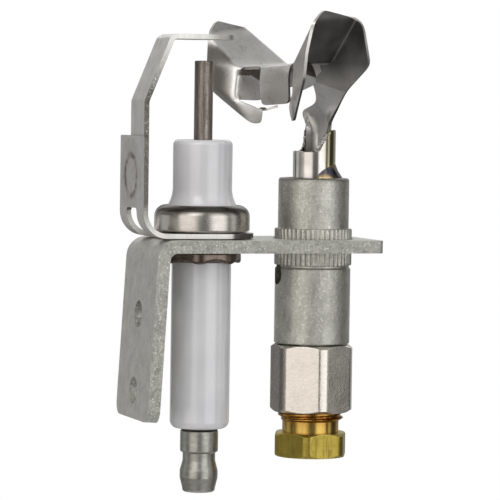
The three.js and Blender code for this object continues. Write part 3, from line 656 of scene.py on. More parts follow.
def build_bracket():
    """Flat pattern measured from the plate's free end, then round the bend and down the leg."""
    run = PLATE_LENGTH - BEND_OUTSIDE
    bend = ("bend", BEND_INSIDE + METAL / 2, 90 - LEG_LEAN)
    segments = [("run", run), bend, ("run", SPARE_RUN)]
    at = bent(segments)
    lean = math.radians(LEG_LEAN)
    leg_start = run + bend_length(bend)
    # the leg's flat starts this far below the plate's top
    drop = BEND_OUTSIDE * (1 - math.sin(lean))
    total = leg_start + (LEG_REACH - drop) / math.cos(lean)

    def mapping(s, y, h):
        x, z = at(s, -h)
        return (PLATE_LENGTH - x, y, -METAL / 2 - z)

    corner, foot = 1.0, 2.2
    outline = (
        arc(corner, -HALF_WIDTH + corner, corner, 180, 270)
        + arc(total - foot, -HALF_WIDTH + foot, foot, -90, 0)
        + arc(total - foot, HALF_WIDTH - foot, foot, 0, 90)
        + arc(corner, HALF_WIDTH - corner, corner, 90, 180)
    )
    upper_screw = leg_start + (SCREW_REACH - drop) / math.cos(lean)
    holes = [circle(s, 0, SCREW_RADIUS, 48) for s in (upper_screw, upper_screw + SCREW_SPACING)]
    holes += [circle(PLATE_LENGTH - ROD_X, 0, ROD_HOLE), circle(PLATE_LENGTH - BODY_X, 0, BODY_HOLE)]
    bm = plate(outline, holes, bend_cuts(segments, 10), mapping, METAL)
    piece("bracket_plate", bm, [galvanised(), sheared()], "bracket",
          modifiers=[bevel(0.28)])


# ---- ground strap ----------------------------------------------------------------------------
STRAP = 0.8
STRAP_FACE = -1.9
STRAP_BEND = 3.4
FOOT_RADIUS = 7.15
FOOT_UNDER = 0.2
TAB_TOP = 17.0
# The strap foot's edge gets a painted shadow of the cup beyond this x.
CUP_SHADOW_FROM = 13.4


def build_strap_foot():
    """Flat pattern from the foot's round end, round the bend and up the tab."""
    start = ROD_X + 1.5 + FOOT_RADIUS
    run = start - (STRAP_FACE + STRAP + STRAP_BEND)
    bend = ("bend", STRAP_BEND + STRAP / 2, 90)
    segments = [("run", run), bend, ("run", SPARE_RUN)]
    at = bent(segments)
    tab_start = run + bend_length(bend)
    total = tab_start + TAB_TOP - (FOOT_UNDER + STRAP + STRAP_BEND)

    def mapping(s, y, h):
        x, z = at(s, h)
        return (start - x, y, FOOT_UNDER + STRAP / 2 + z)

    half, corner = FOOT_RADIUS, 0.35
    outline = (
        arc(FOOT_RADIUS, 0, FOOT_RADIUS, 270, 90, 36)
        + arc(total - corner, half - corner, corner, 90, 0)
        + arc(total - corner, -half + corner, corner, 0, -90)
    )
    slot_low, slot_top, slot_half, snip = run - 0.4, tab_start + 0.7, 3, 0.5
    slot = [
        (slot_low, -slot_half), (slot_top - snip, -slot_half), (slot_top, -slot_half + snip),
        (slot_top, slot_half - snip), (slot_top - snip, slot_half), (slot_low, slot_half),
    ]
    holes = [slot, circle(start - ROD_X, 0, ROD_HOLE)]
    bm = plate(outline, holes, bend_cuts(segments, 10), mapping, STRAP)
    edge = strap_steel("strap_edge", (188, 187, 182), (226, 225, 220), edge=True, burnt_tip=CUP_SHADOW_FROM)
    piece("strap_foot_sheet", bm, [strap_tab(), edge], "ground_strap_foot",
          modifiers=[bevel(0.14)])


def build_strap_arm():
    """Flat pattern from the arm's lower end, up past the knee and over the shoulder."""
    metal, gap, low_z, knee_z, tip_x = 0.85, 0.06, 5.3, 22.7, 15.4
    slope_out, slope_up = 4.4, 10.7
    knee_radius, shoulder_radius = 1.6, 1.1
    mid_x = STRAP_FACE + STRAP + gap + metal / 2
    lean = math.degrees(math.atan2(slope_out, slope_up))
    turn = 90 - lean
    knee = knee_radius * math.tan(math.radians(lean) / 2)
    shoulder = shoulder_radius * math.tan(math.radians(turn) / 2)
    segments = [
        ("run", knee_z - low_z - knee),
        ("bend", knee_radius, -lean),
        ("run", math.hypot(slope_out, slope_up) - knee - shoulder),
        ("bend", shoulder_radius, -turn),
        ("run", tip_x - (mid_x + slope_out) - shoulder),
    ]
    at = bent(segments)
    total = sum(part[1] if part[0] == "run" else bend_length(part) for part in segments)

    def mapping(s, y, h):
        # the line starts along +X: turn it up
        up, left = at(s, h)
        return (mid_x - left, y, low_z + up)

    half, tip, snip = 4.0, 2.6, 0.3
    outline = (
        [(snip, -half), (total - 2 * tip, -half)]
        + arc(total - tip, 0, tip, -80, 80, 16)
        + [(total - 2 * tip, half), (snip, half), (0, half - snip), (0, -half + snip)]
    )
    bm = plate(outline, [], bend_cuts(segments, 8), mapping, metal)
    face = strap_steel("strap_face", (236, 234, 229), (250, 248, 245))
    edge = strap_steel("arm_edge", (206, 205, 200), (232, 231, 226), edge=True)
    piece("strap_arm_sheet", bm, [face, edge], "ground_strap_arm", modifiers=[bevel(0.16)])


# ---- spark electrode -------------------------------------------------------------------------
RING_LOBES = 7


def build_electrode():
    rod = softened([(0, -34.6), (1.55, -34.6, 0.2), (1.55, 29.5, 0.25), (0, 29.5)])
    bm = lathe(rod, ROD_X, closed=False, segments=64)
    piece("rod_bar", bm, [drawn_rod()], "electrode_rod")

    neck, neck_low, neck_rise = 4.93, 5.3, 3.3
    flare = []
    for i in range(17):
        t = i / 16
        flare.append((neck + 0.95 * (1 - t) ** 2.3, neck_low + neck_rise * t))
    body = (
        arc(4.95 - 1.3, -31.65 + 1.3, 1.3, -90, 0, 12)
        + [(4.95, 2.8), (6.7, 2.8), (6.7, 4.0), (5.88, 4.7)]
        + flare
        + arc(4.95 - 0.9, 16.4 - 0.9, 0.9, 0, 90, 12)
        + [(1.85, 16.4), (1.85, -31.65)]
    )
    piece("insulator_body", lathe(body, ROD_X), [porcelain()], "insulator")

    cup = (
        [(5.3, 1.2)]
        + arc(7.95 - 0.4, 1.2 + 0.4, 0.4, -90, 0, 6)
        + arc(7.95 - 1.95, 5.6 - 1.95, 1.95, 0, 78, 16)
        + arc(6.15, 5.42, 0.14, 78, 200, 6)
        + arc(7.2 - 0.9, 4.9 - 0.9, 0.9, 90, 0, 8)
        + [(7.2, 1.9), (5.3, 1.9)]
    )
    steel = turned_steel(
        "ferrule_steel", [(0.3, (182, 177, 170)), (0.5, (198, 193, 187)), (0.72, (214, 209, 204))],
        (0.2, 0.3), 5000, 0.004, dark_above=(3.9, 4.7))
    piece("ferrule_cup_shell", lathe(cup, ROD_X), [steel], "ferrule_cup")

    gasket = [(5.3, 2.1), (6.7, 2.1), (6.7, 2.6), (5.3, 2.6)]
    piece("cup_gasket_ring", lathe(gasket, ROD_X), [fibre()], "cup_gasket")
    washer = softened([(1.85, -31.9), (3.1, -31.9, 0.08), (3.1, -31.7, 0.08), (1.85, -31.7)])
    bm = lathe(washer, ROD_X, segments=64)
    piece("terminal_gasket_ring", bm, [fibre()], "terminal_gasket")

    def lobed(r, z, angle):
        inner_rim, lower_rim = r < 5.5, z < -3.2
        if inner_rim:
            return r, z
        wave = (1 - math.cos(RING_LOBES * angle + 0.9)) / 2
        return r - 0.3 * wave, z + (0.55 * wave if lower_rim else 0.0)

    ring = softened([(5.2, -2.3), (6.6, -2.3, 0.2), (6.65, -4.2, 0.7), (5.2, -3.9)], 8)
    bronze = turned_steel(
        "ring_steel", [(0.3, (82, 72, 66)), (0.5, (112, 100, 92)), (0.75, (160, 146, 134))],
        (0.2, 0.36), 5000, 0.01)
    bm = lathe(ring, ROD_X, segments=168, shape=lobed)
    piece("retaining_ring_shell", bm, [bronze], "retaining_ring")

    terminal = (
        [(0, -42.3)]
        + arc(2.72 - 0.5, -42.3 + 0.5, 0.5, -90, -10, 6)
        + softened([
            (2.75, -41.6), (3.17, -39.9, 1.2), (3.17, -38.7, 1.0), (2.72, -37.0, 1.2), (2.72, -35.75, 0.1),
            (2.95, -35.6, 0.1), (3.17, -35.45, 0.15), (3.17, -32.0, 0.25), (1.85, -32.0, 0.1),
            (1.85, -34.9), (0, -34.9)], 8)
    )
    plating = turned_steel(
        "terminal_plating", [(0.3, (140, 139, 133)), (0.5, (168, 167, 160)), (0.75, (198, 197, 190))],
        (0.28, 0.44), 1500, 0.01)
    bm = lathe(terminal, ROD_X, closed=False)
    piece("snap_terminal_body", bm, [plating], "snap_terminal")


# ---- pilot burner ----------------------------------------------------------------------------
KNURL_TEETH = 46
AIR_HOLE_RADIUS, AIR_HOLE_Z = 1.75, -6.0


def build_burner_body():
    def knurled(r, z, angle):
        in_band = -4.6 < z < 1.9 and r > 6.0
        if not in_band:
            return r, z
        fade = ramp_up(1.75 - z, 0.25) * ramp_up(z + 4.45, 0.3)
        tooth = 0.5 + 0.5 * math.cos(KNURL_TEETH * angle)
        return r - 0.24 * fade * (1 - min(1.0, tooth * 1.5)), z

    outer = softened([
        (5.9, -17.6), (6.35, -17.6, 0.3), (6.35, -5.05, 0.2), (6.1, -4.75, 0.1), (6.1, -4.45, 0.05),
        (6.45, -4.4, 0.1), (6.5, -4.2), (6.5, 1.5), (6.4, 1.7, 0.1), (5.95, 1.75, 0.1), (5.95, 10.2, 0.8),
        (4.75, 10.2, 0.12), (4.45, 9.75, 0.1), (3.9, 9.7, 0.05), (3.88, 2.7)], 6)
    inner = [(3.88, 2.7), (2.6, 2.7), (2.6, -13.2), (4.0, -13.2), (4.0, -17.6)]
    longest_row = 1.2
    rows = []
    for (r0, z0), (r1, z1) in zip(outer, outer[1:]):
        steps = max(1, int(abs(z1 - z0) / longest_row))
        rows += [(r0 + (r1 - r0) * i / steps, z0 + (z1 - z0) * i / steps) for i in range(steps)]
    bm = lathe(rows + inner, BODY_X, segments=KNURL_TEETH * 8, shape=knurled)
    body = piece("burner_casting", bm, [casting()], "burner_body")

    drill = bpy.data.objects.new("air_drill", bpy.data.meshes.new("air_drill"))
    tool = bmesh.new()
    spot = Matrix.Translation(place(BODY_X - 5.0, 0, AIR_HOLE_Z)) @ Matrix.Rotation(math.pi / 2, 4, "Y")
    bmesh.ops.create_cone(
        tool, cap_ends=True, segments=48, radius1=AIR_HOLE_RADIUS * MM, radius2=AIR_HOLE_RADIUS * MM,
        depth=6.4 * MM, matrix=spot)
    tool.to_mesh(drill.data)
    tool.free()
    bpy.context.scene.collection.objects.link(drill)
    cut = body.modifiers.new("air_hole", "BOOLEAN")
    cut.operation, cut.object, cut.solver = "DIFFERENCE", drill, "EXACT"
    apply_modifiers(body)
    bpy.data.objects.remove(drill)


def apply_modifiers(obj):
    bpy.context.view_layer.update()
    depsgraph = bpy.context.evaluated_depsgraph_get()
    mesh = bpy.data.meshes.new_from_object(obj.evaluated_get(depsgraph))
    old = obj.data
    obj.modifiers.clear()
    obj.data = mesh
    bpy.data.meshes.remove(old)


# Places on the tube: across to the right of its mouth's middle, out towards the mouth.
MOUTH_TURN = math.radians(18)
MOUTH_ACROSS = Vector((math.cos(MOUTH_TURN), -math.sin(MOUTH_TURN), 0))
MOUTH_OUT = Vector((-math.sin(MOUTH_TURN), -math.cos(MOUTH_TURN), 0))
MOUTH_EDGE = [
    (0.3, 14.7), (0.7, 14.78), (1.0, 15.1), (1.5, 16.15), (2.0, 17.2), (2.6, 18.0), (3.1, 18.25), (3.6, 18.3)]
MOUTH_SIDE = [(-2.9, 14.62), (-2.3, 14.95), (-1.95, 15.7), (-1.84, 16.5), (-1.75, 18.2)]
TUBE_RADIUS, TUBE_WALL, TUBE_FOOT = 3.575, 0.5, 3.0


def mouth_point(across, out, z):
    return Vector((BODY_X, 0, z)) + MOUTH_ACROSS * across + MOUTH_OUT * out


def build_tube():
    """The tube's wall as a closed strip: its mouth is cut away at the front left."""
    count, lip, ripple = 360, 0.12, 0.05
    outside, bore = TUBE_RADIUS, TUBE_RADIUS - TUBE_WALL
    shares = [0.0, 0.25, 0.5, 0.72, 0.86, 0.95, 0.985, 1.0]
    bm = bmesh.new()
    rows = []
    for wall, rim, order in ((outside, outside - lip, shares), (bore, bore + lip, shares[::-1])):
        for share in order:
            row = []
            for i in range(count):
                angle = 2 * math.pi * i / count
                across, out = math.sin(angle), math.cos(angle)
                top = along_line(MOUTH_EDGE if out > 0 else MOUTH_SIDE, outside * across)
                top += ripple * noise.noise(Vector((across * 5, out * 5, 3.1)))
                radius = rim if share == 1.0 else wall
                z = TUBE_FOOT + (top - TUBE_FOOT) * share
                row.append(bm.verts.new(mouth_point(radius * across, radius * out, z)))
            rows.append(row)
    join_rows(bm, rows, closed=True)
    piece("burner_tube_wall", bm, [bright_tube()], "burner_tube", sharp=30)


def build_braze():
    """A skirt of braze along the tube's root, from its front round to its back right."""
    start, sweep, steps, against_tube = 8, 150, 40, 3.6
    bm = bmesh.new()
    rings = []
    for i in range(steps + 1):
        angle = math.radians(start + sweep * i / steps)
        fade = math.sin(math.pi * i / steps) ** 0.55
        across, out = math.sin(angle), math.cos(angle)
        profile = [
            (against_tube, 9.85), (3.72 + 1.0 * fade, 9.85), (3.72 + 0.98 * fade, 10.22),
            (3.68 + 0.72 * fade, 10.25 + 0.45 * fade), (3.64 + 0.38 * fade, 10.3 + 1.1 * fade),
            (3.62 + 0.14 * fade, 10.35 + 1.75 * fade), (3.58, 10.4 + 2.15 * fade)]
        ring = []
        for r, z in profile:
            if r > against_tube:
                r *= 1 + 0.05 * noise.noise(Vector((across * 4, out * 4, z)))
            ring.append(bm.verts.new(mouth_point(r * across, r * out, z)))
        rings.append(ring)
    join_rows(bm, rings, closed=False)
    bm.faces.new(rings[0])
    bm.faces.new(rings[-1])
    piece("braze_skirt", bm, [braze_metal()], "braze_fillet", sharp=60)


# ---- flame hood ------------------------------------------------------------------------------
# Hood places: u along the hood to the right wing, v out of its back, w up, tilted about one height.
HOOD_TURN = math.radians(27)
HOOD_TILT = math.radians(3.6)
TILT_HEIGHT = 22
HOOD_U = Vector((math.sin(HOOD_TURN), -math.cos(HOOD_TURN), 0))
HOOD_V = Vector((-math.cos(HOOD_TURN), -math.sin(HOOD_TURN), 0))


def level(u, v, w):
    return Vector((BODY_X, 0, w)) + HOOD_U * u + HOOD_V * v


def hood_point(u, v, w):
    rise = w - TILT_HEIGHT
    along = u * math.cos(HOOD_TILT) - rise * math.sin(HOOD_TILT)
    height = TILT_HEIGHT + u * math.sin(HOOD_TILT) + rise * math.cos(HOOD_TILT)
    return level(along, v, height)


# The right half's corners. The left half mirrors them, but for a few, and adds the lower strip.
WING = {
    "tailTip": (3.7, 9.15, 19.5),
    "tailOuter": (4.85, 10.1, 19.4),
    "tailInner": (3.2, 9.3, 21.6),
    "tailBand": (3.75, 9.75, 21.95),
    "strip1": (3.2, 8.4, 21.55),
    "strip1Top": (3.2, 8.45, 21.95),
    "strip2": (1.6, 7.4, 22.0),
    "strip2Top": (1.6, 7.4, 22.4),
    "lowerCorner": (10.95, 13.8, 25.6),
    "outerEdge": (11.6, 13.6, 30.3),
    "crease": (12.2, 12.5, 35.1),
    "topFront": (12.5, 10.4, 37.15),
    "topBack": (12.7, 2.9, 36.0),
    "backRound": (13.7, 2.45, 35.2),
    "ridge": (4.9, 0.9, 29.3),
    "windowTop": (6.4, 11.4, 28.7),
    "windowLow": (6.65, 12.2, 23.6),
    "roofFront": (3.4, 8.5, 28.8),
    "backTop": (14.0, 2.3, 33.8),
    "backSide": (13.6, 0.8, 28.2),
    "backLow": (6.9, -0.4, 24.3),
    "vaneTop": (6.45, 11.55, 27.6),
    "vaneFar": (6.3, 6.2, 26.5),
    "vaneFoot": (6.3, 6.2, 25.5),
    "vaneRoof": (5.3, 6.2, 28.9),
    "tab1": (3.35, 9.0, 28.5),
    "tab2": (3.3, 9.35, 27.6),
    "tab3": (3.3, 9.45, 25.0),
    "tab4": (3.2, 9.3, 22.4),
    "neck1": (4.2, -1.1, 21.7),
    "neck2": (2.7, -0.6, 19.2),
    "neck3": (2.55, -0.35, 17.6),
    "neck4": (2.55, -0.35, 11.5),
    "rib1": (2.6, -1.22, 21.7),
    "rib2": (2.35, -1.35, 19.2),
    "rib3": (2.18, -1.45, 17.6),
    "rib4": (2.18, -1.45, 11.5),
    "spine1": (1.4, -1.25, 21.7),
    "spine2": (1.35, -1.95, 19.2),
    "spine3": (1.3, -2.25, 17.6),
    "spine4": (1.3, -2.25, 11.5),
}
LEFT_INSTEAD = {"backLow": (6.0, 0.0, 25.6), "vaneFoot": (6.3, 6.2, 23.4)}
UPRIGHT = {"neck3", "neck4", "rib3", "rib4", "spine3", "spine4"}

# Corners of the wings' free edge that are rounded off: neighbours along the edge, and the radius.
ROUNDED = {
    "topFront": ("topBack", "crease", 0.8),
    "tailTip": ("tailOuter", "tailInner", 0.5),
}

# Materials of a facet's inner side; the outer side takes the one after it.
# The first kind takes painted shade high up on its outer side.
SHADED_OUTSIDE, PLAIN, SHADOWED, STRIP = 0, 2, 4, 6

WING_FACETS = [
    (PLAIN, "windowLow", "vaneTop", "outerEdge", "lowerCorner"),
    (PLAIN, "vaneTop", "windowTop", "outerEdge"),
    (PLAIN, "windowTop", "crease", "outerEdge"),
    (PLAIN, "windowLow", "lowerCorner", "tailOuter"),
    (PLAIN, "tailOuter", "tailTip", "tailInner", "tailBand", "windowLow"),
    (SHADED_OUTSIDE, "crease", "topBack", "topFront"),
    (SHADED_OUTSIDE, "windowTop", "topBack", "crease"),
    (SHADED_OUTSIDE, "topBack", "windowTop", "ridge"),
    (PLAIN, "ridge", "windowTop", "roofFront"),
    (SHADED_OUTSIDE, "topBack", "ridge", "backTop", "backRound"),
    (SHADED_OUTSIDE, "backTop", "ridge", "backSide"),
    (SHADED_OUTSIDE, "backSide", "ridge", "backLow"),
    (SHADED_OUTSIDE, "backLow", "ridge", "middle"),
    (PLAIN, "vaneTop", "windowLow", "vaneFoot", "vaneFar"),
    # Painted shadow: this facet fills the window up to the roof and is coloured as the shade under it.
    (SHADOWED, "windowTop", "vaneTop", "vaneFar", "vaneRoof"),
    (PLAIN, "rib4", "neck4", "neck3", "rib3"),
    (PLAIN, "rib3", "neck3", "neck2", "rib2"),
    (PLAIN, "rib2", "neck2", "neck1", "rib1"),
    (PLAIN, "spine4", "rib4", "rib3", "spine3"),
    (PLAIN, "spine3", "rib3", "rib2", "spine2"),
    (PLAIN, "spine2", "rib2", "rib1", "spine1"),
]
MIDDLE_FACETS = [
    (PLAIN, "ridgeR", "roofFrontR", "roofFrontL", "ridgeL"),
    (PLAIN, "middle", "ridgeR", "ridgeL"),
    (PLAIN, "backLowR", "middle", "neck1R"),
    (PLAIN, "middle", "neckTop", "rib1R", "neck1R"),
    (PLAIN, "neckTop", "spine1R", "rib1R"),
    (PLAIN, "neckTop", "neck1L", "rib1L"),
    (PLAIN, "neckTop", "rib1L", "spine1L"),
    (PLAIN, "neckTop", "spine1L", "spine1R"),
]
LOWER_STRIP = [
    (STRIP, "tailInnerL", "tailBandL", "strip1TopL", "strip1L"),
    (STRIP, "strip1L", "strip1TopL", "strip2TopL", "strip2L"),
]
# Runs of facets from the left half to the right one: the tongue and the neck's spine.
BRIDGES = [("roofFront", "tab1", "tab2", "tab3", "tab4"), ("spine4", "spine3", "spine2", "spine1")]


def corner_arc(before, corner, after, radius):
    """Points round a corner of the free edge, from the side of `before` to the side of `after`."""
    one, two = (before - corner).normalized(), (after - corner).normalized()
    half = one.angle(two) / 2
    run = min(radius / math.tan(half), 0.45 * (before - corner).length, 0.45 * (after - corner).length)
    return curve_round(corner + one * run, corner, corner + two * run, 6)


def wing_corners(side):
    out = {}
    for name, spot in WING.items():
        if side > 0 and name.startswith("strip"):
            continue
        u, v, w = spot if side > 0 else LEFT_INSTEAD.get(name, spot)
        out[name] = (level if name in UPRIGHT else hood_point)(side * u, v, w)
    return out


def refine(bm, longest):
    """Split edges until the sheet is an even mesh of small triangles."""
    bmesh.ops.triangulate(bm, faces=bm.faces[:])
    for _ in range(12):
        edges = [e for e in bm.edges if e.calc_length() > longest]
        if not edges:
            break
        edges.sort(key=lambda e: -e.calc_length())
        limit = max(longest, edges[0].calc_length() * 0.62)
        split = [e for e in edges if e.calc_length() > limit] or edges
        bmesh.ops.subdivide_edges(bm, edges=split, cuts=1)
        bmesh.ops.triangulate(bm, faces=[f for f in bm.faces if len(f.verts) > 3])
        flat = [e for e in bm.edges if len(e.link_faces) == 2 and e.calc_face_angle(0) < 0.01]
        bmesh.ops.beautify_fill(bm, faces=bm.faces[:], edges=flat)


def soften_folds(bm, rounds):
    """Press-formed folds: points drift to the mean of their neighbours, the rim's along the rim."""
    for _ in range(rounds):
        moved = []
        for vert in bm.verts:
            if any(f.material_index == STRIP for f in vert.link_faces):
                moved.append(vert.co.copy())
                continue
            near = [e.other_vert(vert) for e in vert.link_edges if e.is_boundary or not vert.is_boundary]
            mean = sum((n.co for n in near), Vector()) / len(near)
            moved.append(vert.co.lerp(mean, 0.5))
        for vert, spot in zip(bm.verts, moved):
            vert.co = spot


def build_hood():
    corners = {"middle": hood_point(0, 0.2, 26.6), "neckTop": hood_point(0, -0.9, 22.9)}
    rounds = {}
    for letter, side in (("R", 1), ("L", -1)):
        wing = wing_corners(side)
        corners.update({name + letter: spot for name, spot in wing.items()})
        for name, (before, after, radius) in ROUNDED.items():
            arc_points = corner_arc(wing[before], wing[name], wing[after], radius)
            names = [name + letter + str(i) for i in range(len(arc_points))]
            corners.update(zip(names, arc_points))
            rounds[name + letter] = names
            del corners[name + letter]
    facets = []
    for kind, *facet in WING_FACETS:
        for letter, order in (("R", facet), ("L", facet[::-1])):
            facets.append((kind, *(name if name == "middle" else name + letter for name in order)))
    facets += MIDDLE_FACETS
    for names in BRIDGES:
        for near, far in zip(names, names[1:]):
            facets.append((PLAIN, near + "L", near + "R", far + "R", far + "L"))
    facets += LOWER_STRIP
    bm = bmesh.new()
    verts = {name: bm.verts.new(spot) for name, spot in corners.items()}
    for kind, *facet in facets:
        on_left = facet[0].endswith("L") and facet[-1].endswith("L")
        loop = []
        for name in facet:
            names = rounds.get(name, [name])
            loop += names[::-1] if on_left else names
        bm.faces.new([verts[name] for name in loop]).material_index = kind
    bm.normal_update()
    refine(bm, 0.55)
    soften_folds(bm, 8)
    for face in bm.faces:
        if face.material_index == STRIP:
            face.material_index = PLAIN
    # The main hood sheet carries the painted highlight at mid height.
    sheet = hood_sheet("hood_steel", [
        (0.3, (176, 174, 170)), (0.5, (192, 190, 186)), (0.72, (210, 208, 204))], (0.29, 0.39), pale=True)
    # Outer side of the wing's upper facets: painted shade, fading in from 26 to 29.4 mm up and full above.
    outer = hood_sheet("hood_steel_outer", [
        (0.3, (180, 177, 172)), (0.5, (196, 193, 188)), (0.72, (212, 209, 204))],
        (0.31, 0.41), heat=(26.0, 29.4))
    # Painted shadow for the vane's top facet, on both its sides.
    shadowed = hood_sheet("hood_steel_sooted", [
        (0.3, (92, 80, 72)), (0.5, (112, 100, 92)), (0.72, (140, 130, 122))], (0.3, 0.4))
    edge = strap_steel("hood_edge", (196, 194, 190), (234, 232, 228), edge=True)
    materials = [sheet, outer, sheet, sheet, shadowed, shadowed, edge]
    thicken = ("SOLIDIFY", {
        "thickness": 0.5 * MM, "offset": 0.0, "use_even_offset": False, "material_offset": 1,
        "material_offset_rim": materials.index(edge)})
    round_rim = ("BEVEL", {
        "width": 0.1 * MM, "segments": 2, "limit_method": "ANGLE", "angle_limit": math.radians(60),
        "harden_normals": True})
    piece("flame_hood_sheet", bm, materials, "flame_hood", sharp=60,
          modifiers=[thicken, round_rim])


def build_welds():
    """Two beads, each a row of lumps: (centre, radius)."""
    right_count, left_count, on_wall = 9, 5, 3.35
    right, left = [], []
    for i in range(right_count):
        t = i / (right_count - 1)
        across = 0.5 + 1.45 * t
        centre = mouth_point(across, math.sqrt(on_wall ** 2 - across ** 2), 15.15 + 2.25 * t)
        right.append((centre, 0.36 + 0.1 * math.sin(i * 2.3)))
    for i in range(left_count):
        t = i / (left_count - 1)
        centre = mouth_point(-1.75 + 0.1 * t, -2.2 + 0.2 * t, 15.4 + 1.5 * t)
        left.append((centre, 0.22 + 0.05 * math.sin(i * 1.9)))
    metal = weld_metal()
    for side, lumps in (("right", right), ("left", left)):
        bm = bmesh.new()
        for n, (centre, radius) in enumerate(lumps):
            made = bmesh.ops.create_icosphere(bm, subdivisions=4, radius=radius)
            for vert in made["verts"]:
                bump = 1 + 0.22 * noise.noise(vert.co * 2.6 + Vector((n * 3.7, 1.3, 8.1)))
                vert.co = vert.co * bump + centre
        node = "weld_bead_" + side
        piece(node + "_metal", bm, [metal], node, sharp=60)


# ---- gas inlet -------------------------------------------------------------------------------
HEX_SEGMENTS = 240
CREST, ROOT_RADIUS, RELIEF, PITCH = 5.5, 4.95, 4.75, 1.058
THREAD_LOW, THREAD_LENGTH = -30.7, 6.7


def hexagon(flats, corner, low, high, turn, run, rise):
    """Rows of a hexagon between two heights, its ends cut by chamfer cones of run and rise."""
    fine, soft = rise * 1.5, 0.08

    def outline(angle, z):
        cone = corner - run * max(0.0, 1 - min(z - low, high - z) / rise)
        local = (math.degrees(angle) - turn + 30) % 60 - 30
        flat = flats / 2 / math.cos(math.radians(30 - abs(local)))
        blend = max(0.0, min(1.0, 0.5 + 0.5 * (cone - flat) / soft))
        return cone * (1 - blend) + flat * blend - soft * blend * (1 - blend)

    steps = [fine * i / 18 for i in range(19)]
    heights = [low + step for step in steps]
    heights += [low + fine + (high - low - 2 * fine) * i / 4 for i in range(1, 4)]
    heights += [high - fine + step for step in steps]
    return [(outline, z) for z in heights]


def thread(angle, z):
    """Radius of the nut's thread, which runs out at both ends."""
    phase = (z / PITCH - angle / (2 * math.pi)) % 1.0
    depth = ramp_up(1 - abs(phase - 0.5) * 2 - 0.12, 0.62)
    present = ramp_up(z - THREAD_LOW, 0.5) * ramp_up(-23.95 - z, 0.5)
    return RELIEF + (ROOT_RADIUS - RELIEF + (CREST - ROOT_RADIUS) * depth) * present


def build_inlet():
    inner = [
        (3.7, -13.6), (2.3, -13.6), (2.3, -18.9), (4.6, -18.9), (4.6, -21.0), (5.75, -21.0), (5.75, -28.9),
        (5.95, -29.15)]
    profile = inner + hexagon(12.7, 6.95, -29.15, -17.8, 28, 0.75, 0.5) + [(3.7, -17.8)]
    bm = lathe(profile, BODY_X, segments=HEX_SEGMENTS)
    piece("inlet_fitting_body", bm, [plated_hex()], "inlet_fitting", sharp=34)

    brass = machined_brass()
    orifice = [
        (0.8, -18.6), (2.0, -18.6), (2.0, -15.2), (1.3, -14.4), (0.3, -14.4), (0.3, -15.8), (0.8, -16.8)]
    bm = lathe(orifice, BODY_X, segments=64)
    piece("pilot_orifice_body", bm, [brass], "pilot_orifice")
    sleeve = [(3.3, -23.8), (3.75, -23.8), (4.25, -23.1), (4.25, -21.9), (3.75, -21.2), (3.3, -21.2)]
    bm = lathe(sleeve, BODY_X, segments=96)
    piece("compression_sleeve_ring", bm, [brass], "compression_sleeve", "sleeve")

    turns = [THREAD_LOW + THREAD_LENGTH * i / 96 for i in range(97)]
    profile = (
        [(3.3, -36.45), (3.55, -36.7)]
        + hexagon(11.5, 6.35, -36.7, -32.6, 6, 0.6, 0.45)
        + [(RELIEF, -32.6), (RELIEF, -30.9)]
        + [(thread, z) for z in turns]
        + [(3.3, -24.0)]
    )
    bm = lathe(profile, BODY_X, segments=HEX_SEGMENTS)
    piece("compression_nut_body", bm, [brass], "compression_nut", "nut", sharp=34)


# ---- stage, light, camera --------------------------------------------------------------------
CAMERA_TURN = 18.0
CAMERA_RISE = 2.66
CAMERA_ROLL = 0.8
CAMERA_AWAY = 540.0
AIM = (18.77, 0.0, -1.96)
IMAGE_WIDTH, SENSOR_WIDTH = 500.0, 36.0
FOCAL_PIXELS = 5.98 * CAMERA_AWAY
FLOOR_RADIUS, FLOOR_DROP, FADE_FROM, FADE_TO = 0.105, 0.045, 0.045, 0.104


def build_stage():
    """A pale round floor below the object, fading out before its rim."""
    bm = bmesh.new()
    bmesh.ops.create_circle(bm, cap_ends=True, segments=96, radius=FLOOR_RADIUS)
    mesh = bpy.data.meshes.new("floor")
    bm.to_mesh(mesh)
    bm.free()
    floor = bpy.data.objects.new("floor", mesh)
    floor.location = (0.02, 0, CAD_BOX[0].z - FLOOR_DROP)
    bpy.context.scene.collection.objects.link(floor)
    m = Mat("floor_white", 0.0, 0.9)
    away = m.node("VectorMath", "Value", {0: m.coords}, operation="LENGTH")
    tone = m.ramp(m.noise(3, 2), (0.3, 0.9), (0.7, 0.93))
    m.tree.links.new(tone, m.sockets["Base Color"])
    m.tree.links.new(m.spread(away, 1.0, 0.0, FADE_FROM, FADE_TO), m.sockets["Alpha"])
    mesh.materials.append(m.material)


def area_light(name, direction, size, power):
    light = bpy.data.lights.new(name, "AREA")
    light.shape = "RECTANGLE"
    light.size, light.size_y = size
    light.energy = power
    obj = bpy.data.objects.new(name, light)
    way = Vector(direction).normalized()
    obj.location = (CAD_BOX[0] + CAD_BOX[1]) / 2 + way * 0.6
    obj.rotation_mode = "QUATERNION"
    obj.rotation_quaternion = way.to_track_quat("Z", "Y")
    bpy.context.scene.collection.objects.link(obj)


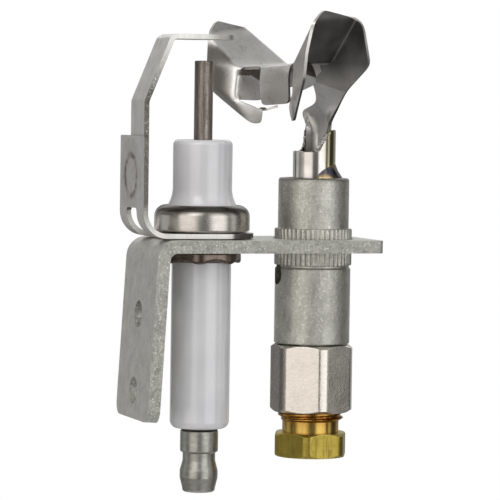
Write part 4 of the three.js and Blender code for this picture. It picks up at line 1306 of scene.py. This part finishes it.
# Soft boxes round the object, as (degrees to the right of the camera's place, brightness, tint).
WHITE, WARM, WARMER, WARMEST = (1.0, 1.0, 1.0), (1.0, 0.98, 0.95), (1.0, 0.97, 0.95), (1.0, 0.96, 0.93)
STUDIO_BANDS = [
    (-180, 0.45, WHITE), (-173, 0.12, WHITE), (-165, 0.14, WHITE), (-160, 0.7, WHITE), (-152, 0.7, WHITE),
    (-148, 0.15, WHITE), (-139, 0.15, WHITE), (-135, 0.6, WHITE), (-130, 0.6, WHITE), (-126, 0.05, WARM),
    (-120, 0.05, WARM), (-114, 0.58, WHITE), (-85, 0.58, WHITE), (-75, 0.13, WARMER), (-64, 0.13, WARMER),
    (-54, 1.3, WARMEST), (-16, 1.4, WARMEST), (-5, 0.22, (1.0, 0.98, 0.96)), (18, 0.12, WHITE),
    (27, 1.7, WHITE), (58, 1.7, WHITE), (68, 0.06, WHITE), (76, 0.06, WHITE), (80, 0.6, WHITE),
    (87, 0.6, WHITE), (92, 0.06, WHITE), (118, 0.06, WHITE), (138, 0.45, WHITE), (180, 0.45, WHITE),
]
WORLD_STRENGTH = 2.0


def build_light():
    world = bpy.data.worlds.new("studio")
    bpy.context.scene.world = world
    world.use_nodes = True
    tree = world.node_tree

    def math_node(operation, *values):
        return add_node(tree, "Math", 0, dict(enumerate(values)), operation=operation)

    def blended(fac, below, grey):
        return add_node(tree, "Mix", 2, {0: fac, 6: below, 7: linear(grey)}, data_type="RGBA")

    def band(value, low, high):
        return add_node(tree, "MapRange", "Result", {"Value": value, "From Min": low, "From Max": high},
                        interpolation_type="SMOOTHSTEP")

    direction = add_node(tree, "TexCoord", "Generated", {})
    x, y, z = (add_node(tree, "SeparateXYZ", axis, {0: direction}) for axis in "XYZ")
    bearing = math_node("ARCTAN2", x, math_node("MULTIPLY", y, -1.0))
    turned = math_node("ADD", bearing, math.radians(CAMERA_TURN) + math.pi)
    share = math_node("FRACT", math_node("DIVIDE", turned, 2 * math.pi))
    stops = [((degrees + 180) / 360, (*(c * brightness / WORLD_STRENGTH for c in tint), 1))
             for degrees, brightness, tint in STUDIO_BANDS]
    walls = add_ramp(tree, share, stops)
    with_ceiling = blended(band(z, 0.45, 0.9), walls, 0.33)
    with_ground = blended(band(z, -0.12, -0.5), with_ceiling, 0.08)
    is_camera_ray = add_node(tree, "LightPath", "Is Camera Ray", {})
    background = tree.nodes["Background"].inputs
    tree.links.new(blended(is_camera_ray, with_ground, 1.0 / WORLD_STRENGTH), background["Color"])
    background["Strength"].default_value = WORLD_STRENGTH
    area_light("key", (-0.55, -0.75, 0.75), (0.3, 0.3), 0.55)
    area_light("fill", (0.95, -0.45, 0.25), (0.16, 0.5), 0.09)
    area_light("back", (0.3, 0.95, 0.6), (0.5, 0.3), 0.35)


def build_camera():
    camera = bpy.data.cameras.new("camera")
    camera.sensor_width = SENSOR_WIDTH
    camera.lens = FOCAL_PIXELS / IMAGE_WIDTH * SENSOR_WIDTH
    camera.clip_start, camera.clip_end = 0.01, 20
    obj = bpy.data.objects.new("camera", camera)
    turn, rise = math.radians(-CAMERA_TURN), math.radians(CAMERA_RISE)
    back = Vector((math.sin(turn) * math.cos(rise), -math.cos(turn) * math.cos(rise), math.sin(rise)))
    obj.location = place(*AIM) + back * CAMERA_AWAY * MM
    obj.rotation_mode = "QUATERNION"
    level_view = (-back).to_track_quat("-Z", "Y")
    roll = Matrix.Rotation(math.radians(CAMERA_ROLL), 3, back).to_quaternion()
    obj.rotation_quaternion = roll @ level_view
    bpy.context.scene.collection.objects.link(obj)
    bpy.context.scene.camera = obj


build_camera()
build_bracket()
build_strap_foot()
build_strap_arm()
build_electrode()
build_burner_body()
build_tube()
build_braze()
build_hood()
build_welds()
build_inlet()
build_stage()
build_light()
bpy.context.scene.view_settings.view_transform = "Standard"
